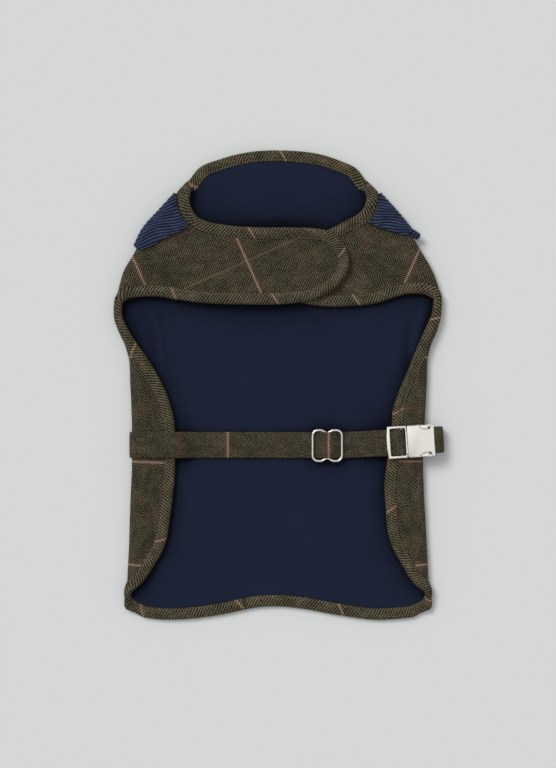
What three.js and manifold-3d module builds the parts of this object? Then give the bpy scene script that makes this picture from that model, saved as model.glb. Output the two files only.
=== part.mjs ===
// A dog winter coat laid flat on its back, lining up: one folded tweed shell with its lining,
// a bound edge all round, a corduroy collar, and a belly belt with a wire slide and a release buckle.
// Millimetres. +X is the viewer's right, +Y runs towards the neck, +Z is up from the table.
// The origin is on the table under the middle of the coat.
import * as THREE from "three";
import { mergeVertices } from "three/addons/utils/BufferGeometryUtils.js";
import Module from "manifold-3d";

const wasm = await Module();
wasm.setup();

// Cloth thicknesses, and the space left between pieces
const GAP = 0.3;
const TWEED = 1.4;
const LINING = 1.4;
const PANEL = TWEED + GAP + LINING;
const TAPE = 1.05;
const TAPE_GAP = 0.45;
const TAPE_REACH = TAPE_GAP + TAPE;
const TAPE_LIP = 9.5;
const CORDUROY = 3;
const COLLAR_GAP = 0.5;
const WALE_HEIGHT = 0.6;
const WALES = 10;
const BELT = 2;
const BELT_WIDTH = 25;
const BELT_GAP = 0.4;
const PATCH = 1;
const CLEARANCE = 0.03;

// How the coat lies
const HEM_LIFT = TAPE_REACH + 0.2;
const COLLAR_LIFT = CORDUROY + COLLAR_GAP;
const BELT_LIFT = BELT + BELT_GAP;
const EDGE_HEIGHT = 8.5;
const EDGE_RUN = 24;
const COLLAR_EASE = 32;
const COLLAR_SLOPE = 16;
const STRAP_MARGIN = 10;
const BELT_REACH = 46;
const BELT_SLOPE = 26;
const BELT_INNER = 28;
const BELT_INNER_SLOPE = 10;
const WAIST_LEFT = -141.2;
const WAIST_RIGHT = 138;
const HEM_FLAT = 12;
const HEM_SLOPE = 12;

// How finely the panels are divided
const BACK_SHARES = [0, 0.05, 0.12, 0.3, 0.5, 0.7, 0.88, 0.95, 1];
const ARC_COLUMNS = 5;
const SIDE_COLUMNS = 7;

// The rolled sides, from the hem corner to the neck. x, y: the outermost point of the roll in plan.
// wrap: how far the free edge comes back over the lining. radius: of the roll. lift: under the roll.
// turn: degrees that the roll turns, and reach: cloth beyond the start of the roll, where it isn't whole.
// wayX, wayY: the direction in plan towards the coat, where it isn't square to the roll.
const LEFT_SIDE = [
  { x: -145.5, y: -213.5, wayX: 0.9, wayY: -0.436, radius: 60, lift: 1.8, turn: 8, reach: 17 },
  { x: -147.4, y: -207, wayX: 0.98, wayY: -0.2, radius: 7, lift: 1.6, turn: 60, reach: 10 },
  { x: -147.1, y: -198.5, wayX: 0.995, wayY: -0.1, radius: 5.5, lift: 0.9, turn: 135, reach: 13.5 },
  { x: -145.8, y: -187, wrap: 15, radius: 5.5, lift: 0 },
  { x: -145, y: -172, wrap: 24.5, radius: 5.5, lift: 0 },
  { x: -144, y: -153, wrap: 34, radius: 5.5, lift: 0 },
  { x: -143.3, y: -128, wrap: 38.5, radius: 5.5, lift: 0 },
  { x: -142.3, y: -102, wrap: 41, radius: 5.3, lift: 0.4 },
  { x: -141.2, y: -76, wrap: 41.5, radius: 4.4, lift: 2.4 },
  { x: -141.2, y: -57, wrap: 42, radius: 4.4, lift: 2.4 },
  { x: -141.2, y: -38, wrap: 41, radius: 4.4, lift: 2.4 },
  { x: -142, y: -16, wrap: 36.5, radius: 5.3, lift: 0.4 },
  { x: -143, y: 5, wrap: 28.5, radius: 5.5, lift: 0 },
  { x: -143.7, y: 22, wrap: 18.5, radius: 5.5, lift: 0 },
  { x: -147.5, y: 37, wrap: 11.5, radius: 5.5, lift: 0 },
  { x: -154, y: 53, wrap: 9, radius: 5.5, lift: 0 },
  { x: -157.3, y: 68, wrap: 6.5, radius: 5.5, lift: 0 },
  { x: -156.8, y: 80.5, wrap: 5.5, radius: 5.5, lift: 0, notch: true },
  { x: -154, y: 92, radius: 5.5, lift: 0.6 },
  { x: -149, y: 109, radius: 5.5, lift: 2 },
  { x: -139, y: 126, radius: 5.5, lift: 3.5 },
  { x: -128, y: 148, radius: 5.5, lift: 3.5 },
  { x: -111.8, y: 166.3, radius: 5.5, lift: 3.5 },
  { x: -98, y: 182, wayX: 0.86, wayY: -0.5, radius: 5.5, lift: 3.5 },
  { x: -90, y: 194.5, wayX: 0.96, wayY: 0.28, radius: 5.5, lift: 3.5, slip: 8 },
];
const RIGHT_SIDE = [
  { x: 143, y: -213.5, wayX: -0.9, wayY: -0.436, radius: 60, lift: 1.8, turn: 8, reach: 17 },
  { x: 144.8, y: -207, wayX: -0.98, wayY: -0.2, radius: 7, lift: 1.6, turn: 60, reach: 10 },
  { x: 144.4, y: -198.5, wayX: -0.995, wayY: -0.1, radius: 5.5, lift: 0.9, turn: 135, reach: 13.5 },
  { x: 142.6, y: -187, wrap: 15, radius: 5.5, lift: 0 },
  { x: 142, y: -172, wrap: 24, radius: 5.5, lift: 0 },
  { x: 141, y: -153, wrap: 33, radius: 5.5, lift: 0 },
  { x: 139.7, y: -128, wrap: 37.5, radius: 5.5, lift: 0 },
  { x: 138.2, y: -102, wrap: 38, radius: 5.3, lift: 0.4 },
  { x: 137.4, y: -76, wrap: 35, radius: 4.4, lift: 2.4 },
  { x: 138, y: -53, wrap: 33.5, radius: 4.4, lift: 2.4 },
  { x: 139, y: -34, wrap: 31, radius: 4.4, lift: 2.4 },
  { x: 140.2, y: -14, wrap: 28, radius: 5.3, lift: 0.4 },
  { x: 141.2, y: 5, wrap: 22, radius: 5.5, lift: 0 },
  { x: 141.6, y: 22, wrap: 15.5, radius: 5.5, lift: 0 },
  { x: 144.5, y: 37, wrap: 12, radius: 5.5, lift: 0 },
  { x: 151.2, y: 53, wrap: 11.5, radius: 5.5, lift: 0 },
  { x: 154.3, y: 69, wrap: 8.5, radius: 5.5, lift: 0 },
  { x: 154, y: 84, wrap: 5.5, radius: 5.5, lift: 0, notch: true },
  { x: 151.6, y: 95, radius: 5.5, lift: 0.6 },
  { x: 145.5, y: 111, radius: 5.5, lift: 2 },
  { x: 136, y: 127, radius: 5.5, lift: 3.5 },
  { x: 122.5, y: 149, radius: 5.5, lift: 3.5 },
  { x: 108, y: 166.5, radius: 5.5, lift: 3.5 },
  { x: 94.5, y: 182, wayX: -0.86, wayY: -0.5, radius: 5.5, lift: 3.5 },
  { x: 86, y: 194.5, wayX: -0.96, wayY: 0.28, radius: 5.5, lift: 3.5, slip: 8 },
];

// The hem and the back of the neck, from left to right, out to the edge of the tape
const HEM = [
  { x: -114, y: -224.4 },
  { x: -95, y: -224.4 },
  { x: -57, y: -220 },
  { x: -19, y: -212.6 },
  { x: 0, y: -211.9 },
  { x: 20, y: -213.8 },
  { x: 58, y: -220.5 },
  { x: 96, y: -224.8 },
  { x: 113, y: -223.9 },
];
const BACK_NECK = [
  { x: -76.3, y: 208.1 },
  { x: -57.1, y: 216.3 },
  { x: -37.9, y: 221.6 },
  { x: -18.7, y: 224.4 },
  { x: 0.5, y: 224.9 },
  { x: 19.7, y: 224 },
  { x: 38.9, y: 221.1 },
  { x: 58.1, y: 214.8 },
  { x: 73, y: 207.6 },
];

// The chest straps, a row for each section from the shoulder roll to the tip. neckX, neckY: on the
// edge beside the neck. chestX, chestY: on the lower edge. height: of the tweed above the back's tweed.
const LEFT_STRAP = [
  { neckX: -86.6, neckY: 180, chestX: -146, chestY: 82.5, height: 11.2 },
  { neckX: -84.3, neckY: 169.5, chestX: -134, chestY: 84.6, height: 11.2 },
  { neckX: -78.5, neckY: 161, chestX: -118, chestY: 85, height: 11 },
  { neckX: -66.7, neckY: 155.8, chestX: -97, chestY: 81.5, height: 11.4 },
  { neckX: -42, neckY: 151.6, chestX: -68, chestY: 78.2, height: 13.4 },
  { neckX: -15, neckY: 150, chestX: -38, chestY: 77.2, height: 14.8 },
  { neckX: 12, neckY: 149.9, chestX: -8, chestY: 77, height: 14.8 },
  { neckX: 35, neckY: 149.3, chestX: 18, chestY: 79, height: 14.8 },
  { neckX: 48.5, neckY: 146, chestX: 40.8, chestY: 85.2, height: 14.8 },
  { neckX: 57.5, neckY: 138, chestX: 54, chestY: 94, height: 14.8 },
  { neckX: 63, neckY: 129.5, chestX: 61.5, chestY: 103.5, height: 14.8 },
  { neckX: 65.3, neckY: 123, chestX: 65, chestY: 111, height: 14.8 },
];
const RIGHT_STRAP = [
  { neckX: 83.6, neckY: 181.7, chestX: 141.5, chestY: 86.2, height: 10.6 },
  { neckX: 81.5, neckY: 171.5, chestX: 129, chestY: 87.8, height: 9.8 },
  { neckX: 76, neckY: 164.5, chestX: 115.7, chestY: 85.7, height: 8.8 },
  { neckX: 63.5, neckY: 157.5, chestX: 94, chestY: 78.7, height: 8.2 },
  { neckX: 42, neckY: 147, chestX: 67.7, chestY: 75.8, height: 8.1 },
  { neckX: 20, neckY: 146, chestX: 40, chestY: 75.6, height: 8.1 },
  { neckX: -3, neckY: 143.5, chestX: 13, chestY: 81, height: 8.1 },
  { neckX: -18, neckY: 137.5, chestX: -9, chestY: 87, height: 8.1 },
  { neckX: -27, neckY: 128, chestX: -22, chestY: 96.5, height: 8.1 },
  { neckX: -31, neckY: 118, chestX: -30.5, chestY: 106.5, height: 8.1 },
];

// The collar's long edge, which lies under the back
const COLLAR_EDGE = [
  { x: -137, y: 130 },
  { x: -111, y: 136 },
  { x: -82, y: 150 },
  { x: -53, y: 165 },
  { x: -25, y: 175 },
  { x: 0, y: 178 },
  { x: 25, y: 175 },
  { x: 53, y: 165 },
  { x: 80, y: 151 },
  { x: 108, y: 138 },
  { x: 133, y: 133 },
];

// The collar's seam along the back of the neck, below the tape
const NECK_SEAM = [
  { x: -79, y: 182.5 },
  { x: -67.5, y: 192 },
  { x: -52.5, y: 204 },
  { x: -35.5, y: 209.6 },
  { x: -18, y: 212.4 },
  { x: 0.5, y: 213 },
  { x: 18.5, y: 212.1 },
  { x: 36, y: 209.2 },
  { x: 52.5, y: 202.6 },
  { x: 64.5, y: 189.5 },
  { x: 74.5, y: 180.5 },
];

// The belt's middle line in plan, and how many degrees the belt is turned there
const BELT_LINE = [
  { x: -160, y: -57, yaw: 0 },
  { x: 60, y: -57.3, yaw: 0 },
  { x: 80, y: -56.4, yaw: 3.6 },
  { x: 160, y: -51.4, yaw: 3.6 },
];

// Small tools
const lerp = THREE.MathUtils.lerp;
const smooth = (value) => THREE.MathUtils.smoothstep(value, 0, 1);
const vec = (x, y, z) => new THREE.Vector3(x, y, z);
const range = (count) => [...Array(count).keys()];

// The value of a named column at another named column, straight between rows
function along(table, at, key, value) {
  const after = table.findIndex((row) => row[at] >= value);
  if (after < 0) return table[table.length - 1][key];
  if (after === 0) return table[0][key];
  const low = table[after - 1];
  const high = table[after];
  return lerp(low[key], high[key], (value - low[at]) / (high[at] - low[at]));
}

// How high the back's tweed lies above the table: over the collar, over the belt's sewn ends,
// and beside the bound hem.
function lift(x, y) {
  const toEdge = y - along(COLLAR_EDGE, "x", "y", x);
  const collar = COLLAR_LIFT * smooth((toEdge + COLLAR_EASE) / COLLAR_SLOPE);
  const toBelt = Math.abs(y - along(BELT_LINE, "x", "y", x));
  const inFromSide = x < 0 ? x - WAIST_LEFT : WAIST_RIGHT - x;
  const nearEnd = smooth((BELT_INNER - inFromSide) / BELT_INNER_SLOPE);
  const belt = BELT_LIFT * smooth((BELT_REACH - toBelt) / BELT_SLOPE) * nearEnd;
  const fromHem = y - along(HEM, "x", "y", x);
  const hem = HEM_LIFT * (1 - smooth((fromHem - HEM_FLAT) / HEM_SLOPE));
  return Math.max(collar, belt, hem);
}

// Rolled sides
// The unit direction in plan from the roll towards the coat, at a row of a side
function inward(side, row) {
  const { wayX, wayY } = side[row];
  if (wayX) return { x: wayX, y: wayY };
  const before = side[Math.max(row - 1, 0)];
  const after = side[Math.min(row + 1, side.length - 1)];
  const dx = after.x - before.x;
  const dy = after.y - before.y;
  const length = Math.hypot(dx, dy);
  const hand = side[0].x < 0 ? 1 : -1;
  return { x: (hand * dy) / length, y: (-hand * dx) / length };
}

// A row of a side as a roll: where it starts in plan, how far it turns and how much cloth it takes
function rollAt(side, row) {
  const { x, y, wrap, radius, lift: foot, turn = 180, reach, slip = 0 } = side[row];
  const to = inward(side, row);
  const angle = THREE.MathUtils.degToRad(turn);
  const length = reach ?? Math.PI * radius + (wrap ?? radius) - radius - TAPE_REACH;
  const out =
    angle < Math.PI / 2
      ? radius * Math.sin(angle) + (length - radius * angle) * Math.cos(angle)
      : radius;
  return { x: x + out * to.x, y: y + out * to.y, to, radius, foot, angle, length, slip };
}

// The point of a roll at a distance along its cloth. Past the roll it lies down to its edge.
function rollPoint(roll, distance, edgeHeight) {
  const bent = Math.min(distance, roll.radius * roll.angle);
  const turn = bent / roll.radius;
  const flat = distance - bent;
  const out = roll.radius * Math.sin(turn) + flat * Math.cos(roll.angle);
  let z = roll.foot + roll.radius * (1 - Math.cos(turn)) + flat * Math.sin(roll.angle);
  if (flat > 0 && edgeHeight) {
    const all = roll.length - roll.radius * roll.angle;
    z = lerp(z, edgeHeight, smooth(flat / Math.max(all, EDGE_RUN)));
  }
  const slipped = roll.slip * smooth(turn / Math.PI);
  return vec(roll.x - out * roll.to.x, roll.y - out * roll.to.y - slipped, z);
}

// A side's cloth at one row, from the start of the roll to the free edge
function wrapPoints(side, row) {
  const roll = rollAt(side, row);
  const knee = Math.min(roll.radius * roll.angle, (roll.length * ARC_COLUMNS) / SIDE_COLUMNS);
  const edge = rollPoint(roll, roll.length, 0);
  const beneath = edge.x + TAPE_LIP * Math.sign(edge.x);
  const edgeHeight = lift(beneath, edge.y) + EDGE_HEIGHT;
  return range(SIDE_COLUMNS + 1).map((column) => {
    const distance =
      column <= ARC_COLUMNS
        ? (knee * column) / ARC_COLUMNS
        : lerp(knee, roll.length, (column - ARC_COLUMNS) / (SIDE_COLUMNS - ARC_COLUMNS));
    return rollPoint(roll, distance, side[row].reach ? 0 : edgeHeight);
  });
}

// The shoulder roll at one row, a half turn from the back to the chest
function shoulderPoints(side, row) {
  const roll = rollAt(side, row);
  return range(SIDE_COLUMNS + 1).map((column) =>
    rollPoint(roll, (Math.PI * roll.radius * column) / SIDE_COLUMNS, 0),
  );
}

// A strap's cloth at one row, from the shoulder roll to the tip
function strapPoints(side, strap, row, first) {
  const share = (row - first) / (side.length - 1 - first);
  return strap.map(({ neckX, neckY, chestX, chestY, height }) => {
    const long = Math.hypot(neckX - chestX, neckY - chestY);
    const at = lerp(TAPE_REACH / long, 1 - TAPE_REACH / long, share);
    const x = lerp(chestX, neckX, at);
    const y = lerp(chestY, neckY, at);
    return vec(x, y, lift(x, y + STRAP_MARGIN) + height);
  });
}

// The back between the two rolls, blended from its four edges
function backRows() {
  const left = range(LEFT_SIDE.length).map((row) => rollAt(LEFT_SIDE, row));
  const right = range(RIGHT_SIDE.length).map((row) => rollAt(RIGHT_SIDE, row));
  const last = left.length - 1;
  const edge = (table, from, to, moved) => {
    const points = table.map(({ x, y }) => vec(x, y + moved, 0));
    const ends = [vec(from.x, from.y, 0), vec(to.x, to.y, 0)];
    return new THREE.CatmullRomCurve3([ends[0], ...points, ends[1]], false, "centripetal");
  };
  const spread = (curve) => BACK_SHARES.map((share) => curve.getPointAt(share));
  const hem = spread(edge(HEM, left[0], right[0], TAPE_REACH));
  const neck = spread(edge(BACK_NECK, left[last], right[last], -TAPE_REACH));
  return range(left.length).map((row) => {
    const v = (left[row].y - left[0].y) / (left[last].y - left[0].y);
    return BACK_SHARES.map((u, column) => {
      const blend = (key) =>
        lerp(hem[column][key], neck[column][key], v) +
        lerp(left[row][key], right[row][key], u) -
        lerp(lerp(left[0][key], right[0][key], u), lerp(left[last][key], right[last][key], u), v);
      const x = blend("x");
      const y = blend("y");
      if (u === 0) return vec(x, y, left[row].foot);
      if (u === 1) return vec(x, y, right[row].foot);
      return vec(x, y, lift(x, y));
    });
  });
}

// Surfaces
const WELD = 1e-3;
const FACING = 0.2;
const LEVEL = 0.3;
const LAYERS_APART = 0.1;

// The outer face of the whole folded panel: strips of rows, whose shared points are welded
function panelFace() {
  const first = LEFT_SIDE.findIndex((row) => row.notch);
  const back = backRows();
  const strips = [];
  const sidePoints = (side, row) => (row < first ? wrapPoints(side, row) : shoulderPoints(side, row));
  const lower = range(first + 1).map((row) => [
    ...sidePoints(LEFT_SIDE, row).reverse(),
    ...back[row].slice(1, -1),
    ...sidePoints(RIGHT_SIDE, row),
  ]);
  strips.push(lower);
  const upper = range(LEFT_SIDE.length - first).map((step) => [
    ...strapPoints(LEFT_SIDE, LEFT_STRAP, first + step, first).reverse(),
    ...shoulderPoints(LEFT_SIDE, first + step).reverse(),
    ...back[first + step].slice(1, -1),
    ...shoulderPoints(RIGHT_SIDE, first + step),
    ...strapPoints(RIGHT_SIDE, RIGHT_STRAP, first + step, first),
  ]);
  strips.push(upper);
  return faceOf(strips, true);
}

// A welded triangle face from strips of rows of points, with a normal at each point
function faceOf(strips, turned) {
  const places = [];
  const raised = [];
  for (const rows of strips)
    for (let row = 0; row + 1 < rows.length; row++)
      for (let column = 0; column + 1 < rows[row].length; column++) {
        const [a, b] = [rows[row][column], rows[row][column + 1]];
        const [d, c] = [rows[row + 1][column], rows[row + 1][column + 1]];
        const corners = turned ? [a, c, b, a, d, c] : [a, b, c, a, c, d];
        for (const corner of corners) {
          places.push(...corner.toArray());
          raised.push(corner.raised ?? 0);
        }
      }
  const soup = new THREE.BufferGeometry();
  soup.setAttribute("position", new THREE.Float32BufferAttribute(places, 3));
  soup.setAttribute("raised", new THREE.Float32BufferAttribute(raised, 1));
  const face = mergeVertices(soup, WELD);
  face.computeVertexNormals();
  return face;
}

const pointOf = (attribute, index) => new THREE.Vector3().fromBufferAttribute(attribute, index);

// The edges of a face that only one triangle uses, each turned as its triangle is
function openEdges(face) {
  const index = face.index.array;
  const used = new Map();
  for (let i = 0; i < index.length; i += 3)
    for (const side of [0, 1, 2]) {
      const from = index[i + side];
      const to = index[i + ((side + 1) % 3)];
      used.set(from + "_" + to, [from, to]);
    }
  return [...used.values()].filter(([from, to]) => !used.has(to + "_" + from));
}

// The open edges as one ring of point numbers
function rimOf(face) {
  const next = new Map(openEdges(face));
  const start = next.keys().next().value;
  const ring = [start];
  for (let at = next.get(start); at !== start; at = next.get(at)) ring.push(at);
  return ring;
}

// A closed wall between two depths under a face, whose outer side keeps the face's raised points
function wallUnder(face, outer, inner) {
  const { position, normal, raised } = face.attributes;
  const count = position.count;
  const places = [];
  for (const depth of [outer, inner])
    for (let i = 0; i < count; i++) {
      const up = depth === outer ? raised.getX(i) : 0;
      const point = pointOf(position, i).addScaledVector(pointOf(normal, i), up - depth);
      places.push(...point.toArray());
    }
  const index = [...face.index.array];
  for (let i = 0; i < face.index.count; i += 3) {
    const [a, b, c] = face.index.array.slice(i, i + 3);
    index.push(a + count, c + count, b + count);
  }
  for (const [a, b] of openEdges(face)) index.push(b, a, a + count, b, a + count, b + count);
  return facingOut(places, index);
}

// A closed geometry whose faces are turned outwards
function facingOut(places, index) {
  const corner = (i) => vec(...places.slice(3 * index[i], 3 * index[i] + 3));
  let volume = 0;
  for (let i = 0; i < index.length; i += 3)
    volume += corner(i).dot(corner(i + 1).cross(corner(i + 2)));
  const made = new THREE.BufferGeometry();
  made.setAttribute("position", new THREE.Float32BufferAttribute(places, 3));
  made.setIndex(volume > 0 ? index : [...index].reverse());
  return made;
}

// A closed solid from a row of rings of points, with flat ends
function sweep(rings) {
  const size = rings[0].length;
  const places = rings.flat().flatMap((point) => point.toArray());
  const index = [];
  for (let ring = 0; ring + 1 < rings.length; ring++)
    for (let i = 0; i < size; i++) {
      const [a, b] = [ring * size + i, ring * size + ((i + 1) % size)];
      index.push(a, b, b + size, a, b + size, a + size);
    }
  for (const [ring, first] of [[rings[0], 0], [rings[rings.length - 1], places.length / 3 - size]]) {
    const flat = ring.map((point) => flatPoint(point, ring));
    const way = Math.sign(THREE.ShapeUtils.area(flat)) * (first === 0 ? -1 : 1);
    const cap = THREE.ShapeUtils.triangulateShape(flat, []);
    const cover = cap.reduce((sum, three) => sum + THREE.ShapeUtils.area(three.map((i) => flat[i])), 0);
    for (const three of cap)
      index.push(...(Math.sign(cover) === way ? three : three.reverse()).map((i) => first + i));
  }
  return facingOut(places, index);
}

// A ring's point in the ring's own plane
function flatPoint(point, ring) {
  const across = ring[1].clone().sub(ring[0]).normalize();
  const far = ring[Math.floor(ring.length / 2)].clone().sub(ring[0]);
  const normal = across.clone().cross(far).normalize();
  const up = normal.cross(across);
  const from = point.clone().sub(ring[0]);
  return new THREE.Vector2(from.dot(across), from.dot(up));
}

// A face's triangles, with their own normals and their corners' normals
function trianglesOf(face) {
  const { position, normal } = face.attributes;
  const index = face.index.array;
  return range(index.length / 3).map((i) => {
    const corners = [...index.slice(3 * i, 3 * i + 3)];
    const shape = new THREE.Triangle(...corners.map((corner) => pointOf(position, corner)));
    return { shape, own: shape.getNormal(vec()), normals: corners.map((c) => pointOf(normal, c)) };
  });
}

// The nearest place on a face that looks roughly the same way as a normal
function onFace(triangles, point, normal) {
  let best = null;
  const near = vec();
  for (const triangle of triangles) {
    if (triangle.own.dot(normal) < FACING) continue;
    triangle.shape.closestPointToPoint(point, near);
    const far = near.distanceToSquared(point);
    if (!best || far < best.far) best = { far, point: near.clone(), triangle };
  }
  const share = best.triangle.shape.getBarycoord(best.point, vec());
  const smoothNormal = vec();
  best.triangle.normals.forEach((corner, i) => smoothNormal.addScaledVector(corner, share.getComponent(i)));
  return { point: best.point, normal: smoothNormal.normalize() };
}

// The heights at which a face that looks up crosses a plumb line, lowest first
function heightsAt(triangles, x, y) {
  const found = [];
  for (const { shape, own } of triangles) {
    if (own.z < LEVEL) continue;
    const plane = new THREE.Plane().setFromNormalAndCoplanarPoint(own, shape.a);
    const z = -(plane.constant + own.x * x + own.y * y) / own.z;
    if (shape.containsPoint(vec(x, y, z))) found.push(z);
  }
  return found.sort((a, b) => a - b).filter((z, i, all) => i === 0 || z - all[i - 1] > LAYERS_APART);
}

// Bound edges
const MARCH_STEPS = 3;
const FLAT_TAPE = [0, MARCH_STEPS];
const ROUND_TAPE = range(MARCH_STEPS + 1);
const CAP_ROUND = 0.9;
const CORNER_LIP = 0.8;
const CORNER_GROWTH = 0.8;
const ROUND_SPACING = 9;
const FLAT_SPACING = 20;
const SHARP_TURN = 0.55;
const CLOSE = 5;
const STRAIGHT = 0.97;

// The tape's section at one point of the rim: a fold of tape over both sides of the panel
function tapeSection(triangles, place, shift, samples) {
  const { point, normal, tangent, lip } = place;
  const steps = [{ point: point.clone().addScaledVector(tangent, shift), normal }];
  let way = normal.clone().cross(tangent).normalize();
  const outwards = way.clone().negate();
  for (let step = 0; step < MARCH_STEPS; step++) {
    const last = steps[step];
    const ahead = last.point.clone().addScaledVector(way, lip / MARCH_STEPS);
    const next = onFace(triangles, ahead, last.normal);
    way = way.addScaledVector(next.normal, -way.dot(next.normal)).normalize();
    steps.push(next);
  }
  const edge = steps[0];
  const over = samples.slice(1).map((sample) => steps[sample]);
  const back = [...over].reverse();
  const at = (step, out, up) =>
    step.point.clone().addScaledVector(outwards, out).addScaledVector(step.normal, up);
  const under = -PANEL;
  return [
    ...back.map((step) => at(step, 0, TAPE_REACH)),
    at(edge, TAPE_GAP, TAPE_REACH),
    at(edge, TAPE_REACH, TAPE_REACH - CAP_ROUND),
    at(edge, TAPE_REACH, under - TAPE_REACH + CAP_ROUND),
    at(edge, TAPE_GAP, under - TAPE_REACH),
    ...over.map((step) => at(step, 0, under - TAPE_REACH)),
    ...back.map((step) => at(step, 0, under - TAPE_GAP)),
    at(edge, TAPE_GAP, under - TAPE_GAP),
    at(edge, TAPE_GAP, TAPE_GAP),
    ...over.map((step) => at(step, 0, TAPE_GAP)),
  ];
}

// The rim's points in order, each with its normal, its direction and the width of tape there.
// An inner corner has three places, turned one after the other. At a hem corner the tape is mitred.
function rimPlaces(face) {
  const { position, normal } = face.attributes;
  const ring = rimOf(face);
  const at = (i) => pointOf(position, ring[(i + ring.length) % ring.length]);
  const corners = [LEFT_SIDE[0], RIGHT_SIDE[0]];
  return ring.flatMap((corner, i) => {
    const point = at(i);
    const up = pointOf(normal, corner);
    const before = point.clone().sub(at(i - 1)).normalize();
    const after = at(i + 1).sub(point).normalize();
    const middle = before.clone().add(after).normalize();
    const far = corners.map(({ x, y }) => Math.hypot(point.x - x, point.y - y));
    const lip = Math.min(TAPE_LIP, CORNER_LIP + CORNER_GROWTH * Math.min(...far));
    const turn = before.clone().cross(after).dot(up);
    const ways = turn < -SHARP_TURN ? [before, middle, after] : [middle];
    return ways.map((tangent) => ({ point, normal: up, tangent, lip }));
  });
}

// The places of one stretch, without those that are close together on a straight run
function thinned(places) {
  return places.filter((place, i) => {
    if (i === 0 || i === places.length - 1) return true;
    const before = places[i - 1];
    const near = place.point.distanceTo(before.point) < CLOSE && i % 2 === 1;
    const like = (key) => place[key].dot(places[i + 1][key]) > STRAIGHT && place[key].dot(before[key]) > STRAIGHT;
    return !(near && like("normal") && like("tangent"));
  });
}

// The places with more between those that are further apart than a spacing
function filled(places, spacing) {
  return places.flatMap((place, i) => {
    if (i === 0) return [place];
    const before = places[i - 1];
    const steps = Math.ceil(place.point.distanceTo(before.point) / spacing);
    return range(Math.max(steps, 1)).map((step) => {
      const share = steps > 1 ? (step + 1) / steps : 1;
      const mix = (key) => before[key].clone().lerp(place[key], share);
      return {
        point: mix("point"),
        normal: mix("normal").normalize(),
        tangent: mix("tangent").normalize(),
        lip: lerp(before.lip, place.lip, share),
      };
    });
  });
}

// The tape in stretches, cut where its edge is straight. rows: of the sides, sections: of the straps.
const CUT_LOW = 4;
const CUT_HIGH = 12;
const CUT_CHEST = 1;
const CUT_NECK = 2;

function tapePieces(face, triangles) {
  const places = rimPlaces(face);
  const nearest = ({ x, y }) => {
    const far = places.map(({ point }) => Math.hypot(point.x - x, point.y - y));
    return far.indexOf(Math.min(...far));
  };
  const marks = (side, strap, neck) => ({
    hem: backRows()[0].at(side === LEFT_SIDE ? 0 : -1),
    low: wrapPoints(side, CUT_LOW).at(-1),
    high: wrapPoints(side, CUT_HIGH).at(-1),
    chest: { x: strap[CUT_CHEST].chestX, y: strap[CUT_CHEST].chestY },
    chestNeck: { x: strap[CUT_NECK].neckX, y: strap[CUT_NECK].neckY },
    neck,
  });
  const left = marks(LEFT_SIDE, LEFT_STRAP, BACK_NECK[0]);
  const right = marks(RIGHT_SIDE, RIGHT_STRAP, BACK_NECK[BACK_NECK.length - 1]);
  const cuts = [
    { name: "binding_hem", from: left.hem, to: right.hem, samples: FLAT_TAPE },
    { name: "binding_corner_right", from: right.hem, to: right.low, samples: ROUND_TAPE },
    { name: "binding_side_right", from: right.low, to: right.high, samples: FLAT_TAPE },
    { name: "binding_armhole_right", from: right.high, to: right.chest, samples: ROUND_TAPE },
    { name: "binding_strap_right", from: right.chest, to: right.chestNeck, samples: FLAT_TAPE },
    { name: "binding_shoulder_right", from: right.chestNeck, to: right.neck, samples: ROUND_TAPE },
    { name: "binding_neck", from: right.neck, to: left.neck, samples: FLAT_TAPE },
    { name: "binding_shoulder_left", from: left.neck, to: left.chestNeck, samples: ROUND_TAPE },
    { name: "binding_strap_left", from: left.chestNeck, to: left.chest, samples: FLAT_TAPE },
    { name: "binding_armhole_left", from: left.chest, to: left.high, samples: ROUND_TAPE },
    { name: "binding_side_left", from: left.high, to: left.low, samples: FLAT_TAPE },
    { name: "binding_corner_left", from: left.low, to: left.hem, samples: ROUND_TAPE },
  ];
  const step = nearest(HEM[4]) > nearest(HEM[3]) ? 1 : -1;
  return cuts.map(({ name, from, to, samples }) => {
    const start = nearest(from);
    const count = (((nearest(to) - start) * step + 2 * places.length) % places.length) + 1;
    const stretch = range(count).map(
      (i) => places[(start + i * step + 2 * places.length) % places.length],
    );
    const kept = filled(thinned(stretch), samples === FLAT_TAPE ? FLAT_SPACING : ROUND_SPACING);
    const rings = kept.map((place, i) => {
      const end = i === 0 ? 1 : i === kept.length - 1 ? -1 : 0;
      return tapeSection(triangles, place, end * step * GAP, samples);
    });
    return { name, geometry: sweep(rings) };
  });
}

// Collar
// A side's roll between two of its rows
function rollBetween(side, row) {
  const low = Math.floor(row);
  const [a, b] = [rollAt(side, low), rollAt(side, low + 1)];
  const mix = (read) => lerp(read(a), read(b), row - low);
  return {
    x: mix((roll) => roll.x),
    y: mix((roll) => roll.y),
    to: { x: mix((roll) => roll.to.x), y: mix((roll) => roll.to.y) },
    radius: mix((roll) => roll.radius),
    foot: mix((roll) => roll.foot),
  };
}

const COLLAR_ARC = 6;
const COLLAR_TOP = 3;
const COLLAR_UNDER = 6;
const COLLAR_ROWS = 2 * WALES;
const COLLAR_TIP_ROW = 20.35;
const COLLAR_NECK_ROW = 23.1;
const WALE_TURN = 1.2;

// Where the collar's fall meets the neck tape on the chest, from its front end to the neck roll
const LEFT_SEAM = [
  { x: -86, y: 151.8 },
  { x: -95.4, y: 164.8 },
  { x: -98.4, y: 174 },
  { x: -98.8, y: 179.5 },
];
const RIGHT_SEAM = [
  { x: 84.2, y: 154.4 },
  { x: 92.2, y: 165.6 },
  { x: 95, y: 174 },
  { x: 95.4, y: 179.5 },
];

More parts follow.
